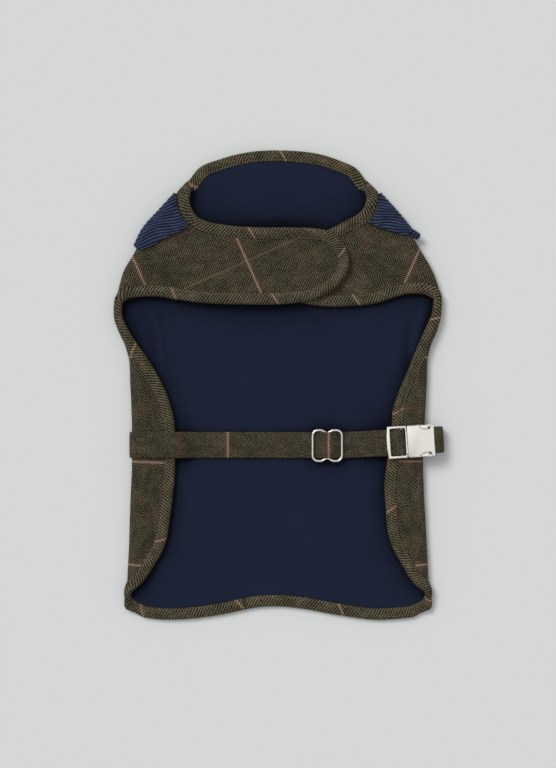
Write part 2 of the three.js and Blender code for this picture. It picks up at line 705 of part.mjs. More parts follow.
// One side of the collar at one row: round the shoulder roll, then down to its seam on the chest.
// Beside the neck it ends on the roll.
function collarSide(side, seam, row, triangles) {
  const share = row / COLLAR_ROWS;
  const roll = rollBetween(side, lerp(COLLAR_TIP_ROW, COLLAR_NECK_ROW, share));
  const radius = roll.radius + COLLAR_GAP + CORDUROY;
  const middle = roll.foot + roll.radius;
  const seamCurve = new THREE.CatmullRomCurve3(seam.map(({ x, y }) => vec(x, y, 0)));
  const end = seamCurve.getPoint(share);
  const past = (end.x - roll.x) * roll.to.x + (end.y - roll.y) * roll.to.y;
  const turnAll = past > 0 ? Math.PI : Math.PI - Math.asin(-past / radius);
  const bend = turnAll * radius;
  const total = bend + (past > 0 ? Math.hypot(end.x - roll.x, end.y - roll.y) : 0);
  const knee = Math.min(bend, (total * COLLAR_ARC) / (COLLAR_ARC + COLLAR_TOP));
  const slide =
    past > 0 ? { x: 0, y: 0 } : { x: end.x - roll.x - past * roll.to.x, y: end.y - roll.y - past * roll.to.y };
  return range(COLLAR_ARC + COLLAR_TOP + 1).map((column) => {
    const distance =
      column <= COLLAR_ARC
        ? (knee * column) / COLLAR_ARC
        : lerp(knee, total, (column - COLLAR_ARC) / COLLAR_TOP);
    const turn = Math.min(distance / radius, turnAll);
    const out = radius * Math.sin(turn);
    const drift = (turn / turnAll) ** 2;
    const along = distance > bend ? (distance - bend) / (total - bend) : 0;
    const x = lerp(roll.x - out * roll.to.x + drift * slide.x, end.x, along);
    const y = lerp(roll.y - out * roll.to.y + drift * slide.y, end.y, along);
    const below = along > 0 ? heightsAt(triangles, x, y).pop() : undefined;
    const onRoll = middle - radius * Math.cos(turn);
    const point = vec(x, y, below === undefined ? onRoll : below + COLLAR_GAP + CORDUROY);
    point.raised = row % 2 && turn > WALE_TURN ? WALE_HEIGHT : 0;
    return point;
  });
}

// The collar's outer face: its long part lies on the table under the back, its ends come round
function collarFace(triangles) {
  const rows = range(COLLAR_ROWS + 1);
  const left = rows.map((row) => collarSide(LEFT_SIDE, LEFT_SEAM, row, triangles));
  const right = rows.map((row) => collarSide(RIGHT_SIDE, RIGHT_SEAM, row, triangles));
  const last = COLLAR_ROWS;
  const curve = (table, row) =>
    new THREE.CatmullRomCurve3(
      [
        vec(left[row][0].x, left[row][0].y, 0),
        ...table.map(({ x, y }) => vec(x, y, 0)),
        vec(right[row][0].x, right[row][0].y, 0),
      ],
      false,
      "centripetal",
    ).getSpacedPoints(COLLAR_UNDER);
  const edge = curve(COLLAR_EDGE.slice(1, -1), 0);
  const neck = curve(NECK_SEAM, last);
  const under = rows.map((row) => {
    const v = row / last;
    return range(COLLAR_UNDER - 1).map((step) => {
      const column = step + 1;
      const u = column / COLLAR_UNDER;
      const blend = (key) =>
        lerp(edge[column][key], neck[column][key], v) +
        lerp(left[row][0][key], right[row][0][key], u) -
        lerp(
          lerp(left[0][0][key], right[0][0][key], u),
          lerp(left[last][0][key], right[last][0][key], u),
          v,
        );
      return vec(blend("x"), blend("y"), 0);
    });
  });
  return faceOf([rows.map((row) => [...left[row].slice().reverse(), ...under[row], ...right[row]])], true);
}

// Hook and loop tape between the two chest straps
const PATCH_X = [-5, 37];
const PATCH_Y = [98.5, 122.5];
const PATCH_STEPS = 4;

function patchFace(triangles, layer, above) {
  return faceOf(
    [
      range(2).map((row) =>
        range(PATCH_STEPS + 1).map((column) => {
          const x = lerp(...PATCH_X, column / PATCH_STEPS);
          const y = PATCH_Y[row];
          return vec(x, y, heightsAt(triangles, x, y).at(layer) + above);
        }),
      ),
    ],
    false,
  );
}

// Belt
// A strap of webbing along a path of x and z, with the belt's own line in plan
function strapAlong(path, width, thickness) {
  return sweep(
    path.map(({ x, z }, i) => {
      const before = path[Math.max(i - 1, 0)];
      const after = path[Math.min(i + 1, path.length - 1)];
      const [run, rise] = [after.x - before.x, after.z - before.z];
      const long = Math.hypot(run, rise);
      const yaw = THREE.MathUtils.degToRad(along(BELT_LINE, "x", "yaw", x));
      const way = vec(Math.cos(yaw), Math.sin(yaw), 0);
      const across = vec(-Math.sin(yaw), Math.cos(yaw), 0);
      const up = way.clone().multiplyScalar(-rise / long).add(vec(0, 0, run / long));
      const middle = vec(x, along(BELT_LINE, "x", "y", x), z);
      const corner = (side, level) =>
        middle
          .clone()
          .addScaledVector(across, (side * width) / 2)
          .addScaledVector(up, (level * thickness) / 2);
      return [corner(-1, -1), corner(1, -1), corner(1, 1), corner(-1, 1)];
    }),
  );
}

// Points of an arc in the plane of the path, by degrees from +X towards +Z
function arcPath(centre, radius, { from, to, steps }) {
  return range(steps + 1).map((step) => {
    const angle = THREE.MathUtils.degToRad(lerp(from, to, step / steps));
    return { x: centre.x + radius * Math.cos(angle), z: centre.z + radius * Math.sin(angle) };
  });
}

const BELT_END = -127;
const LEFT_ROLL = { x: -136.8, z: 6.8 };
const CROSSBAR = { x: 116.5, z: 16.3, halfHeight: 0.9, halfWidth: 1 };
const REAR_BAR = { x: 146.6, z: 17, halfHeight: 1.2, halfWidth: 0.9 };
const SHORT_END = 124;
const SHORT_FLAT = 12;

// The long belt's middle: out over the left side, the lining and the slide to the buckle's bar
const BELT_OUT = [
  { x: -118, z: 12.4 },
  { x: -97, z: 12.1 },
  { x: -91, z: 10.6 },
  { x: -84, z: 6.6 },
  { x: -78, z: 4.8 },
  { x: -70, z: 4.5 },
  { x: -30, z: 4.5 },
  { x: 8, z: 4.5 },
  { x: 20, z: 5.2 },
  { x: 28, z: 6.6 },
  { x: 33.5, z: 6.8 },
  { x: 38, z: 9.2 },
  { x: 42, z: 11.8 },
  { x: 45.5, z: 12.5 },
  { x: 49, z: 11.8 },
  { x: 53, z: 9.2 },
  { x: 57, z: 6.9 },
  { x: 64, z: 6.9 },
  { x: 78, z: 7.2 },
  { x: 86, z: 8.8 },
  { x: 92, z: 11.2 },
  { x: 98, z: 13.5 },
  { x: 103, z: 14.3 },
  { x: 106.5, z: 14.4 },
  { x: 109.5, z: 15.8 },
  { x: 112.5, z: 17.8 },
];

// And back from the bar under itself to the slide
const BELT_BACK = [
  { x: 111, z: 13.2 },
  { x: 102, z: 12 },
  { x: 97, z: 10 },
  { x: 91, z: 6.8 },
  { x: 84, z: 4.9 },
  { x: 78, z: 4.5 },
  { x: 54, z: 4.5 },
  { x: 47, z: 5.2 },
  { x: 41, z: 6.7 },
];

// The short belt's tail, between its turn round the bar and its own inner side
const SHORT_BEND = { x: 149.4, z: 14.7 };
const SHORT_WRAP = { from: 120, to: 270, steps: 6 };
const SHORT_TAIL = { from: 32, to: -15, steps: 4 };

function longBeltPath() {
  const outer = LEFT_ROLL.z - BELT / 2;
  const loop = CROSSBAR.halfHeight + BELT_GAP + BELT / 2;
  return [
    { x: BELT_END, z: BELT / 2 },
    ...arcPath(LEFT_ROLL, outer, { from: -90, to: -270, steps: 8 }),
    ...BELT_OUT,
    ...arcPath(CROSSBAR, loop, { from: 90, to: -90, steps: 6 }),
    ...BELT_BACK,
  ];
}

function shortBeltPath() {
  const loop = REAR_BAR.halfHeight + BELT_GAP + BELT / 2;
  const top = REAR_BAR.z + loop;
  const radius = (top - BELT / 2) / 2;
  const middle = { x: REAR_BAR.x, z: BELT / 2 + radius };
  return [
    { x: SHORT_END, z: BELT / 2 },
    { x: SHORT_END + SHORT_FLAT, z: BELT / 2 },
    ...arcPath(middle, radius, { from: -90, to: 90, steps: 10 }),
    ...arcPath(REAR_BAR, loop, SHORT_WRAP),
    SHORT_BEND,
    ...arcPath(middle, radius - BELT - BELT_GAP, SHORT_TAIL),
  ];
}

// Metal
const SLIDE = { x: 45.6, y: -57.6, z: 8.3, width: 30.8, height: 32.2, wire: 2.8, corner: 6, notch: 2.6, ease: 3, hole: 4.3 };
const BUCKLE = { x: 125, y: -53.5, yaw: 3.6, width: 30.6 };
const MALE = { z: 15.6, thick: 2.8, left: -23, bar: 3.6, rail: 2.2, window: -4.9, mouth: -3.9, bow: 1.2 };
const FEMALE = { z: 13.4, thick: 7.2, left: -3.6, right: 16.8, tail: 22.6, corner: 2.4, slotHalf: 13.3 };
const CAVITY = { half: 12.4, low: 15.2, high: 18.8, end: 13.6 };
const RELEASE = { from: 5.4, to: 12.4, depth: 4.4 };
const PRONG = { inner: 7.6, outer: 11.9, lug: 14.4, end: 12.2, step: 6, root: 0.5, taper: 1 };
const BEVEL = 0.7;
const FINE_BEVEL = 0.3;
const HOLE_CORNER = 1.5;
const SLOT_CORNER = 1;
const BAR_CORNER = 0.4;
const PAST = 3;
const METAL_WELD = 1e-4;

const at2 = (x, y) => new THREE.Vector2(x, y);

// A closed rectangle path with rounded corners
function roundedBox(path, left, bottom, right, top, corner) {
  path.moveTo(left + corner, bottom);
  path.lineTo(right - corner, bottom);
  path.quadraticCurveTo(right, bottom, right, bottom + corner);
  path.lineTo(right, top - corner);
  path.quadraticCurveTo(right, top, right - corner, top);
  path.lineTo(left + corner, top);
  path.quadraticCurveTo(left, top, left, top - corner);
  path.lineTo(left, bottom + corner);
  path.quadraticCurveTo(left, bottom, left + corner, bottom);
  return path;
}

// A plate of a shape, with its edges eased, from one height up
function plate(shape, low, thick, ease = BEVEL) {
  const made = new THREE.ExtrudeGeometry(shape, {
    depth: thick - 2 * ease,
    bevelEnabled: ease > 0,
    bevelThickness: ease,
    bevelSize: ease,
    bevelOffset: -ease,
    bevelSegments: 1,
    curveSegments: 3,
  });
  made.translate(0, 0, low + ease);
  return made;
}

function asSolid(geometry) {
  const bare = geometry.clone();
  bare.deleteAttribute("normal");
  bare.deleteAttribute("uv");
  const merged = mergeVertices(bare, METAL_WELD);
  return new wasm.Manifold(
    new wasm.Mesh({
      numProp: 3,
      vertProperties: merged.attributes.position.array,
      triVerts: new Uint32Array(merged.index.array),
    }),
  );
}

function asGeometry(solid) {
  const mesh = solid.getMesh();
  const made = new THREE.BufferGeometry();
  made.setAttribute("position", new THREE.BufferAttribute(mesh.vertProperties, 3));
  made.setIndex(new THREE.BufferAttribute(mesh.triVerts, 1));
  return made;
}

// The slide: one wire bent into two loops side by side, with a notch where they meet
function slideGeometry() {
  const { width, height, wire, corner, notch, ease, hole } = SLIDE;
  const [right, top] = [width / 2, height / 2];
  const shape = new THREE.Shape();
  shape.moveTo(0, top - notch);
  shape.quadraticCurveTo(-notch, top, -notch - ease, top);
  shape.lineTo(-right + corner, top);
  shape.quadraticCurveTo(-right, top, -right, top - corner);
  shape.lineTo(-right, -top + corner);
  shape.quadraticCurveTo(-right, -top, -right + corner, -top);
  shape.lineTo(-notch - ease, -top);
  shape.quadraticCurveTo(-notch, -top, 0, -top + notch);
  shape.quadraticCurveTo(notch, -top, notch + ease, -top);
  shape.lineTo(right - corner, -top);
  shape.quadraticCurveTo(right, -top, right, -top + corner);
  shape.lineTo(right, top - corner);
  shape.quadraticCurveTo(right, top, right - corner, top);
  shape.lineTo(notch + ease, top);
  shape.quadraticCurveTo(notch, top, 0, top - notch);
  for (const side of [-1, 1]) {
    const [near, far] = [(side * wire) / 2, side * (right - wire)];
    const [left, end] = [Math.min(near, far), Math.max(near, far)];
    shape.holes.push(roundedBox(new THREE.Path(), left, -top + wire, end, top - wire, hole));
  }
  return plate(shape, 0, wire);
}

// The tongue half: an end bar, two rails, a bar for the belt, and two spring prongs
function maleGeometry() {
  const half = BUCKLE.width / 2;
  const { left, bar, rail, window, mouth, z, thick, bow } = MALE;
  const { inner, outer, lug, end, step, root, taper } = PRONG;
  const frame = new THREE.Shape();
  frame.moveTo(mouth, -half);
  frame.lineTo(left + bow, -half);
  frame.quadraticCurveTo(left - bow, 0, left + bow, half);
  frame.lineTo(mouth, half);
  frame.lineTo(mouth, outer);
  frame.lineTo(step, outer);
  frame.lineTo(step, lug);
  frame.lineTo(end, outer - taper);
  frame.lineTo(end, inner);
  frame.lineTo(root, inner);
  frame.lineTo(root, -inner);
  frame.lineTo(end, -inner);
  frame.lineTo(end, -outer + taper);
  frame.lineTo(step, -lug);
  frame.lineTo(step, -outer);
  frame.lineTo(mouth, -outer);
  frame.closePath();
  const hole = new THREE.Path();
  const [inLeft, inHalf] = [left + bar, half - rail];
  frame.holes.push(roundedBox(hole, inLeft, -inHalf, window, inHalf, HOLE_CORNER));
  const barAt = CROSSBAR.x - BUCKLE.x;
  const [barLeft, barRight] = [barAt - CROSSBAR.halfWidth, barAt + CROSSBAR.halfWidth];
  const barShape = roundedBox(new THREE.Shape(), barLeft, rail / 2 - half, barRight, half - rail / 2, BAR_CORNER);
  const low = CROSSBAR.z - CROSSBAR.halfHeight;
  const crossbar = asSolid(plate(barShape, low, 2 * CROSSBAR.halfHeight, FINE_BEVEL));
  return asGeometry(asSolid(plate(frame, z, thick, FINE_BEVEL)).add(crossbar));
}

// The socket half: a flat tube with windows at its sides for the prongs, and a bar at its tail
function femaleGeometry() {
  const half = BUCKLE.width / 2;
  const { left, right, tail, corner, z, thick, slotHalf } = FEMALE;
  const outline = roundedBox(new THREE.Shape(), left, -half, tail, half, corner);
  const slotLeft = right + BAR_CORNER;
  const slotRight = REAR_BAR.x - BUCKLE.x - REAR_BAR.halfWidth;
  outline.holes.push(roundedBox(new THREE.Path(), slotLeft, -slotHalf, slotRight, slotHalf, SLOT_CORNER));
  const block = (x0, x1, y0, y1, z0, z1) => {
    const made = new THREE.BoxGeometry(x1 - x0, y1 - y0, z1 - z0);
    return asSolid(made.translate((x0 + x1) / 2, (y0 + y1) / 2, (z0 + z1) / 2));
  };
  let body = asSolid(plate(outline, z, thick));
  const cavity = block(left - PAST, CAVITY.end, -CAVITY.half, CAVITY.half, CAVITY.low, CAVITY.high);
  body = body.subtract(cavity);
  for (const side of [-1, 1]) {
    const [y0, y1] = [side * (half - RELEASE.depth), side * (half + PAST)].sort((a, b) => a - b);
    body = body.subtract(block(RELEASE.from, RELEASE.to, y0, y1, CAVITY.low, CAVITY.high));
  }
  const barLow = REAR_BAR.z - REAR_BAR.halfHeight;
  const barHigh = REAR_BAR.z + REAR_BAR.halfHeight;
  body = body.subtract(block(slotLeft, tail + PAST, -slotHalf, slotHalf, z - PAST, barLow));
  body = body.subtract(block(slotLeft, tail + PAST, -slotHalf, slotHalf, barHigh, z + thick + PAST));
  return asGeometry(body);
}

// The coat
const tweed = new THREE.MeshStandardMaterial({ color: 0x3f3a2e, roughness: 0.95, metalness: 0 });
const navy = new THREE.MeshStandardMaterial({ color: 0x1b2440, roughness: 0.95, metalness: 0 });
const corduroy = new THREE.MeshStandardMaterial({ color: 0x1f2c52, roughness: 0.9, metalness: 0 });
const tape = new THREE.MeshStandardMaterial({ color: 0x15161a, roughness: 0.9, metalness: 0 });
const nickel = new THREE.MeshStandardMaterial({ color: 0xdedad3, roughness: 0.3, metalness: 1 });

const coat = new THREE.Group();

function piece(parent, name, geometry, material) {
  const mesh = new THREE.Mesh(geometry, material);
  mesh.name = name;
  parent.add(mesh);
}

const face = panelFace();
const triangles = trianglesOf(face);
const shell = wallUnder(face, 0, TWEED);
const lining = wallUnder(face, TWEED + GAP, PANEL);
const around = wallUnder(face, -CLEARANCE, PANEL + CLEARANCE);
const rooms = [around, shell, lining].map(asSolid);

// A piece of the cloth cut clear of the panel, without crumbs
function clearOf(geometry) {
  const cut = rooms.reduce((left, room) => left.subtract(room), asSolid(geometry));
  const bodies = cut.decompose();
  const sizes = bodies.map((body) => body.volume());
  return asGeometry(bodies[sizes.indexOf(Math.max(...sizes))]);
}

piece(coat, "shell", shell, tweed);
piece(coat, "lining", lining, navy);
for (const { name, geometry } of tapePieces(face, triangles)) piece(coat, name, clearOf(geometry), tweed);
piece(coat, "collar", clearOf(wallUnder(collarFace(triangles), 0, CORDUROY)), corduroy);
piece(coat, "fastening_loop", wallUnder(patchFace(triangles, -2, GAP + PATCH), 0, PATCH), tape);
piece(coat, "fastening_hook", wallUnder(patchFace(triangles, -1, -PANEL - GAP), 0, PATCH), tape);
piece(coat, "belt_long", strapAlong(longBeltPath(), BELT_WIDTH, BELT), tweed);
piece(coat, "belt_short", strapAlong(shortBeltPath(), BELT_WIDTH, BELT), tweed);

const slide = new THREE.Group();
slide.position.set(SLIDE.x, SLIDE.y, SLIDE.z);
piece(slide, "slide", slideGeometry(), nickel);
coat.add(slide);

const buckle = new THREE.Group();
buckle.position.set(BUCKLE.x, BUCKLE.y, 0);
buckle.rotation.z = THREE.MathUtils.degToRad(BUCKLE.yaw);
piece(buckle, "buckle_tongue", maleGeometry(), nickel);
piece(buckle, "buckle_socket", femaleGeometry(), nickel);
coat.add(buckle);

export default coat;
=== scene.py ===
"""Dog winter coat, laid flat on its back with the lining up: cloth, binding, collar, belt and buckle."""

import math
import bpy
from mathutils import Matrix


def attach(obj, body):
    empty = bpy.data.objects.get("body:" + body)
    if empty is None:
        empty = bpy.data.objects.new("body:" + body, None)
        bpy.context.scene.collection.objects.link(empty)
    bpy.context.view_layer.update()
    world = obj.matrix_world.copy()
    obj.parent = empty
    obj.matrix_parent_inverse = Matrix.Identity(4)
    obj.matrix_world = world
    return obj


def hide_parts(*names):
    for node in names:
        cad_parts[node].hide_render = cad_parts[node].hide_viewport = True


bl_info = {
    "name": "Dog winter coat",
    "version": (1, 0, 0),
    "blender": (4, 5, 0),
    "location": "View3D > Sidebar > Coat",
    "description": "Makes the cloth, the trim and the metal of a tweed dog coat on its packed frame",
    "category": "Object",
}

from collections import namedtuple
from functools import lru_cache

import bmesh
import bpy
import numpy as np
from bpy.props import FloatProperty, FloatVectorProperty, PointerProperty
from mathutils import Vector
from mathutils.bvhtree import BVHTree

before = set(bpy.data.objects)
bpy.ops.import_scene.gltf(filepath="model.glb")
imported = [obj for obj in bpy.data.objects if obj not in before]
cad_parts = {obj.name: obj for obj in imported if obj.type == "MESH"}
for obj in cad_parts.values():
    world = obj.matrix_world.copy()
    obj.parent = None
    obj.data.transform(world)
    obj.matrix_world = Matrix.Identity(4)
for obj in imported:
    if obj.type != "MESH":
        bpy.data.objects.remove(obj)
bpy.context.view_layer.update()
MM = 0.001
CUT = "cut"

# Cloth, in millimetres
TWEED = 1.5
PANEL = 3.1
SEAM = 0.1
TAPE_REACH = 1.5
TAPE_LIP = 9.5
HEM_LIFT = 1.7
COLLAR_LIFT = 3.5
BELT_LIFT = 2.4
COLLAR_EASE = 32
COLLAR_SLOPE = 16
STRAP_MARGIN = 10
HEM_FLAT = 12
HEM_SLOPE = 12
EDGE_HEIGHT = 8.5

# The rolled sides, from the hem corner to the neck. x, y: the outermost point of the roll in plan.
# wrap: how far the free edge comes back over the lining. lift: under the roll.
# turn: degrees that the roll turns, and reach: cloth past the start of the roll, where it isn't whole.
# way: the direction in plan towards the coat, where it isn't square to the roll.
# slip: how far the cloth moves down along the roll on its way over it, at the neck.
ROW_DEFAULTS = (None, 5.5, 0, 180, None, None, 0)
Row = namedtuple("Row", "x y wrap radius lift turn reach way slip", defaults=ROW_DEFAULTS)
NOTCH = 17
LEFT_SIDE = (
    Row(-145.5, -213.5, radius=60, lift=1.8, turn=8, reach=17, way=(0.9, -0.436)),
    Row(-147.4, -207, radius=7, lift=1.6, turn=60, reach=10, way=(0.98, -0.2)),
    Row(-147.1, -198.5, radius=5.5, lift=0.9, turn=135, reach=13.5, way=(0.995, -0.1)),
    Row(-145.8, -187, 15),
    Row(-145, -172, 24.5),
    Row(-144, -153, 34),
    Row(-143.3, -128, 38.5),
    Row(-142.3, -102, 41, 5.3, 0.4),
    Row(-141.2, -76, 41.5, 4.4, 2.4),
    Row(-141.2, -57, 42, 4.4, 2.4),
    Row(-141.2, -38, 41, 4.4, 2.4),
    Row(-142, -16, 36.5, 5.3, 0.4),
    Row(-143, 5, 28.5),
    Row(-143.7, 22, 18.5),
    Row(-147.5, 37, 11.5),
    Row(-154, 53, 9),
    Row(-157.3, 68, 6.5),
    Row(-156.8, 80.5, 5.5),
    Row(-154, 92, lift=0.6),
    Row(-149, 109, lift=2),
    Row(-139, 126, lift=3.5),
    Row(-128, 148, lift=3.5),
    Row(-111.8, 166.3, lift=3.5),
    Row(-98, 182, lift=3.5, way=(0.86, -0.5)),
    Row(-90, 194.5, lift=3.5, way=(0.96, 0.28), slip=8),
)
RIGHT_SIDE = (
    Row(143, -213.5, radius=60, lift=1.8, turn=8, reach=17, way=(-0.9, -0.436)),
    Row(144.8, -207, radius=7, lift=1.6, turn=60, reach=10, way=(-0.98, -0.2)),
    Row(144.4, -198.5, radius=5.5, lift=0.9, turn=135, reach=13.5, way=(-0.995, -0.1)),
    Row(142.6, -187, 15),
    Row(142, -172, 24),
    Row(141, -153, 33),
    Row(139.7, -128, 37.5),
    Row(138.2, -102, 38, 5.3, 0.4),
    Row(137.4, -76, 35, 4.4, 2.4),
    Row(138, -53, 33.5, 4.4, 2.4),
    Row(139, -34, 31, 4.4, 2.4),
    Row(140.2, -14, 28, 5.3, 0.4),
    Row(141.2, 5, 22),
    Row(141.6, 22, 15.5),
    Row(144.5, 37, 12),
    Row(151.2, 53, 11.5),
    Row(154.3, 69, 8.5),
    Row(154, 84, 5.5),
    Row(151.6, 95, lift=0.6),
    Row(145.5, 111, lift=2),
    Row(136, 127, lift=3.5),
    Row(122.5, 149, lift=3.5),
    Row(108, 166.5, lift=3.5),
    Row(94.5, 182, lift=3.5, way=(-0.86, -0.5)),
    Row(86, 194.5, lift=3.5, way=(-0.96, 0.28), slip=8),
)

# The hem and the back of the neck, x and y from left to right, out to the edge of the tape
HEM = (
    (-114, -224.4), (-95, -224.4), (-57, -220), (-19, -212.6), (0, -211.9), (20, -213.8), (58, -220.5),
    (96, -224.8), (113, -223.9),
)
BACK_NECK = (
    (-76.3, 208.1), (-57.1, 216.3), (-37.9, 221.6), (-18.7, 224.4), (0.5, 224.9), (19.7, 224),
    (38.9, 221.1), (58.1, 214.8), (73, 207.6),
)

# The chest straps, a row for each section from the shoulder roll to the tip: x and y on the edge
# beside the neck, x and y on the lower edge, and the tweed's height above the back's tweed.
# STRAP_RUNS is the length of cloth from the roll to the first section, and from each to the next.
STRAP_RUNS = (7, 12, 16, 21, 26, 27, 27, 26, 21, 14, 11, 9)
LEFT_STRAP = (
    (-86.6, 180, -146, 82.5, 11.2),
    (-84.3, 169.5, -134, 84.6, 11.2),
    (-78.5, 161, -118, 85, 11),
    (-66.7, 155.8, -97, 81.5, 11.4),
    (-42, 151.6, -68, 78.2, 13.4),
    (-15, 150, -38, 77.2, 14.8),
    (12, 149.9, -8, 77, 14.8),
    (35, 149.3, 18, 79, 14.8),
    (48.5, 146, 40.8, 85.2, 14.8),
    (57.5, 138, 54, 94, 14.8),
    (63, 129.5, 61.5, 103.5, 14.8),
    (65.3, 123, 65, 111, 14.8),
)
RIGHT_STRAP = (
    (83.6, 181.7, 141.5, 86.2, 10.6),
    (81.5, 171.5, 129, 87.8, 9.8),
    (76, 164.5, 115.7, 85.7, 8.8),
    (63.5, 157.5, 94, 78.7, 8.2),
    (42, 147, 67.7, 75.8, 8.1),
    (20, 146, 40, 75.6, 8.1),
    (-3, 143.5, 13, 81, 8.1),
    (-18, 137.5, -9, 87, 8.1),
    (-27, 128, -22, 96.5, 8.1),
    (-31, 118, -30.5, 106.5, 8.1),
)

# The collar: its long edge under the back, its seam below the neck tape, and where its ends meet the
# neck tape on the chest, from the front end to the neck roll
COLLAR_EDGE = (
    (-137, 130), (-111, 136), (-82, 150), (-53, 165), (-25, 175), (0, 178), (25, 175), (53, 165),
    (80, 151), (108, 138), (133, 133),
)
NECK_SEAM = (
    (-79, 182.5), (-67.5, 192), (-52.5, 204), (-35.5, 209.6), (-18, 212.4), (0.5, 213), (18.5, 212.1),
    (36, 209.2), (52.5, 202.6), (64.5, 189.5), (74.5, 180.5),
)
LEFT_SEAM = ((-86, 151.8), (-95.4, 164.8), (-98.4, 174), (-98.8, 179.5))
RIGHT_SEAM = ((84.2, 154.4), (92.2, 165.6), (95, 174), (95.4, 179.5))
COLLAR_TIP_ROW = {-1: 20.25, 1: 20.85}
COLLAR_NECK_ROW = 23.1
COLLAR_GAP = 0.5
CORDUROY = 3

# The belt's middle line in plan: x, y and degrees turned
BELT_LINE = ((-160, -57, 0), (60, -57.3, 0), (80, -56.4, 3.6), (160, -51.4, 3.6))
BELT = 2
BELT_WIDTH = 25
BELT_GAP = 0.4

# Where the back is raised over the belt's ends: how far from the belt and in from each side roll
BELT_ROLL_X = {-1: -141.2, 1: 138}
BELT_BESIDE = 46
BELT_BESIDE_SLOPE = 26
BELT_INWARD = 28
BELT_INWARD_SLOPE = 10

# The cut of the chest: the direction of the cloth's width and length there, and where they start.
# The coat is one piece of tweed, folded at the shoulders, so the checks lean on the chest.
CHEST_LEAN = math.radians(24)
CHEST_CUT = {-1: (-309, 201.5), 1: (309, 192.6)}
FOLD_BLEND = 75
NOTCH_BLEND = 4

# Soft creases: x and y of both ends, how far each bows aside, how wide and how high it is, and whether
# it is on the back or on what lies over it. They fade near their ends and beside the belt.
CREASE_PAST = 0.15
CREASE_SLOPE = 0.4
BELT_CLEAR = 2
BELT_CLEAR_SLOPE = 12
Crease = namedtuple("Crease", "x0 y0 x1 y1 bow width height over")
CREASES = (
    Crease(-124, 78, -114, 10, 4, 5, 3, False),
    Crease(-117, 82, -109, 4, 4, 2.6, -2.2, False),
    Crease(-133, 64, -124, 12, -3, 4, 1.6, False),
    Crease(142, 86, 131, 22, -3, 7, 4.6, False),
    Crease(131.5, 86, 123.5, 22, -2, 2.6, -1.8, False),
    Crease(116, 60, 108, 14, 4, 8, 1.4, False),
    Crease(-92, 20, -84, -36, 5, 9, 1.3, False),
    Crease(-98, -78, -86, -150, 6, 10, 1.5, False),
    Crease(92, -84, 82, -172, -7, 11, 1.4, False),
    Crease(20, 70, 44, -20, 9, 15, 0.9, False),
    Crease(-30, 66, -46, 0, -6, 13, 0.8, False),
    Crease(-50, -120, 30, -150, -9, 16, 1, False),
    Crease(40, -100, 60, -190, 7, 14, 0.8, False),
    Crease(-60, 196, 10, 204, 6, 8, 1.1, False),
    Crease(30, 190, 66, 168, 5, 8, 1, False),
    Crease(-70, 148, -58, 92, 4, 6, 1.6, True),
    Crease(-106, 148, -116, 98, -3, 6, 1.5, True),
    Crease(-126, 132, -134, 100, 2, 5, 1.1, True),
    Crease(-32, 142, -22, 98, 3, 9, 1.2, True),
    Crease(20, 138, 40, 104, 4, 8, 0.9, True),
    Crease(92, 150, 108, 100, 3, 7, 1.5, True),
    Crease(124, 132, 130, 98, 2, 6, 1.2, True),
    Crease(-134.5, 15, -114.5, -31, 1, 2.6, -3.4, True),
    Crease(-140, 8, -128, -40, 2, 5, 1.4, True),
    Crease(-120, -84, -112, -130, 3, 6, 1.6, True),
    Crease(-136, -100, -128, -160, 3, 5, 1.1, True),
    Crease(-124, -140, -134, -176, 2, 5, -1, True),
    Crease(128, 10, 112.5, -34, -1, 2.6, -3, True),
    Crease(110, -88, 116, -134, -3, 6, 1.5, True),
    Crease(131, -96, 126, -154, 3, 5, 1, True),
)


# Small tools
def lerp(a, b, t):
    return a + (b - a) * t


def smooth(value):
    t = np.clip(value, 0, 1)
    return t * t * (3 - 2 * t)


def unit(vectors):
    return vectors / np.maximum(np.linalg.norm(vectors, axis=-1, keepdims=True), 1e-9)


def running_total(steps):
    return np.concatenate([[0], np.cumsum(steps)])


def lengths_along(points):
    """The distance from the first of some points to each of them"""
    return running_total(np.linalg.norm(np.diff(points, axis=0), axis=1))


def spline(values, knots, places, level=False):
    """Values at some places of a smooth curve through the given ones, with no overshoot if level"""
    values = np.asarray(values, float)
    knots = np.asarray(knots, float)
    steps = np.diff(knots)
    slopes = np.diff(values, axis=0) / steps[:, None]
    tangents = np.concatenate([slopes[:1], slopes])
    mixed = slopes[:-1] * steps[1:, None] + slopes[1:] * steps[:-1, None]
    tangents[1:-1] = mixed / (steps[1:] + steps[:-1])[:, None]
    if level:
        least = 3 * np.minimum(np.abs(slopes[:-1]), np.abs(slopes[1:]))
        turning = slopes[:-1] * slopes[1:] <= 0
        tangents[1:-1] = np.where(turning, 0, np.clip(tangents[1:-1], -least, least))
    places = np.clip(places, knots[0], knots[-1])
    span = np.clip(np.searchsorted(knots, places, side="right") - 1, 0, len(steps) - 1)
    long = steps[span][:, None]
    t = (places - knots[span])[:, None] / long
    start = values[span] * (1 + 2 * t) * (1 - t) ** 2 + tangents[span] * long * t * (1 - t) ** 2
    end = values[span + 1] * t * t * (3 - 2 * t) + tangents[span + 1] * long * t * t * (t - 1)
    return start + end


CURVE_SAMPLES = 40


def along_curve(points, shares):
    """Points at shares of the length of a smooth curve through some points"""
    points = np.asarray(points, float)
    knots = lengths_along(points)
    fine = spline(points, knots, np.linspace(0, knots[-1], CURVE_SAMPLES * len(points)))
    far = lengths_along(fine)
    at = np.asarray(shares) * far[-1]
    return np.stack([np.interp(at, far, fine[:, i]) for i in range(points.shape[1])], axis=1)


def above_line(x, y, table):
    """How far in Y some places are past a line in plan, which is given by a table of its places"""
    line = np.array(table, float)
    return y - np.interp(x, line[:, 0], line[:, 1])


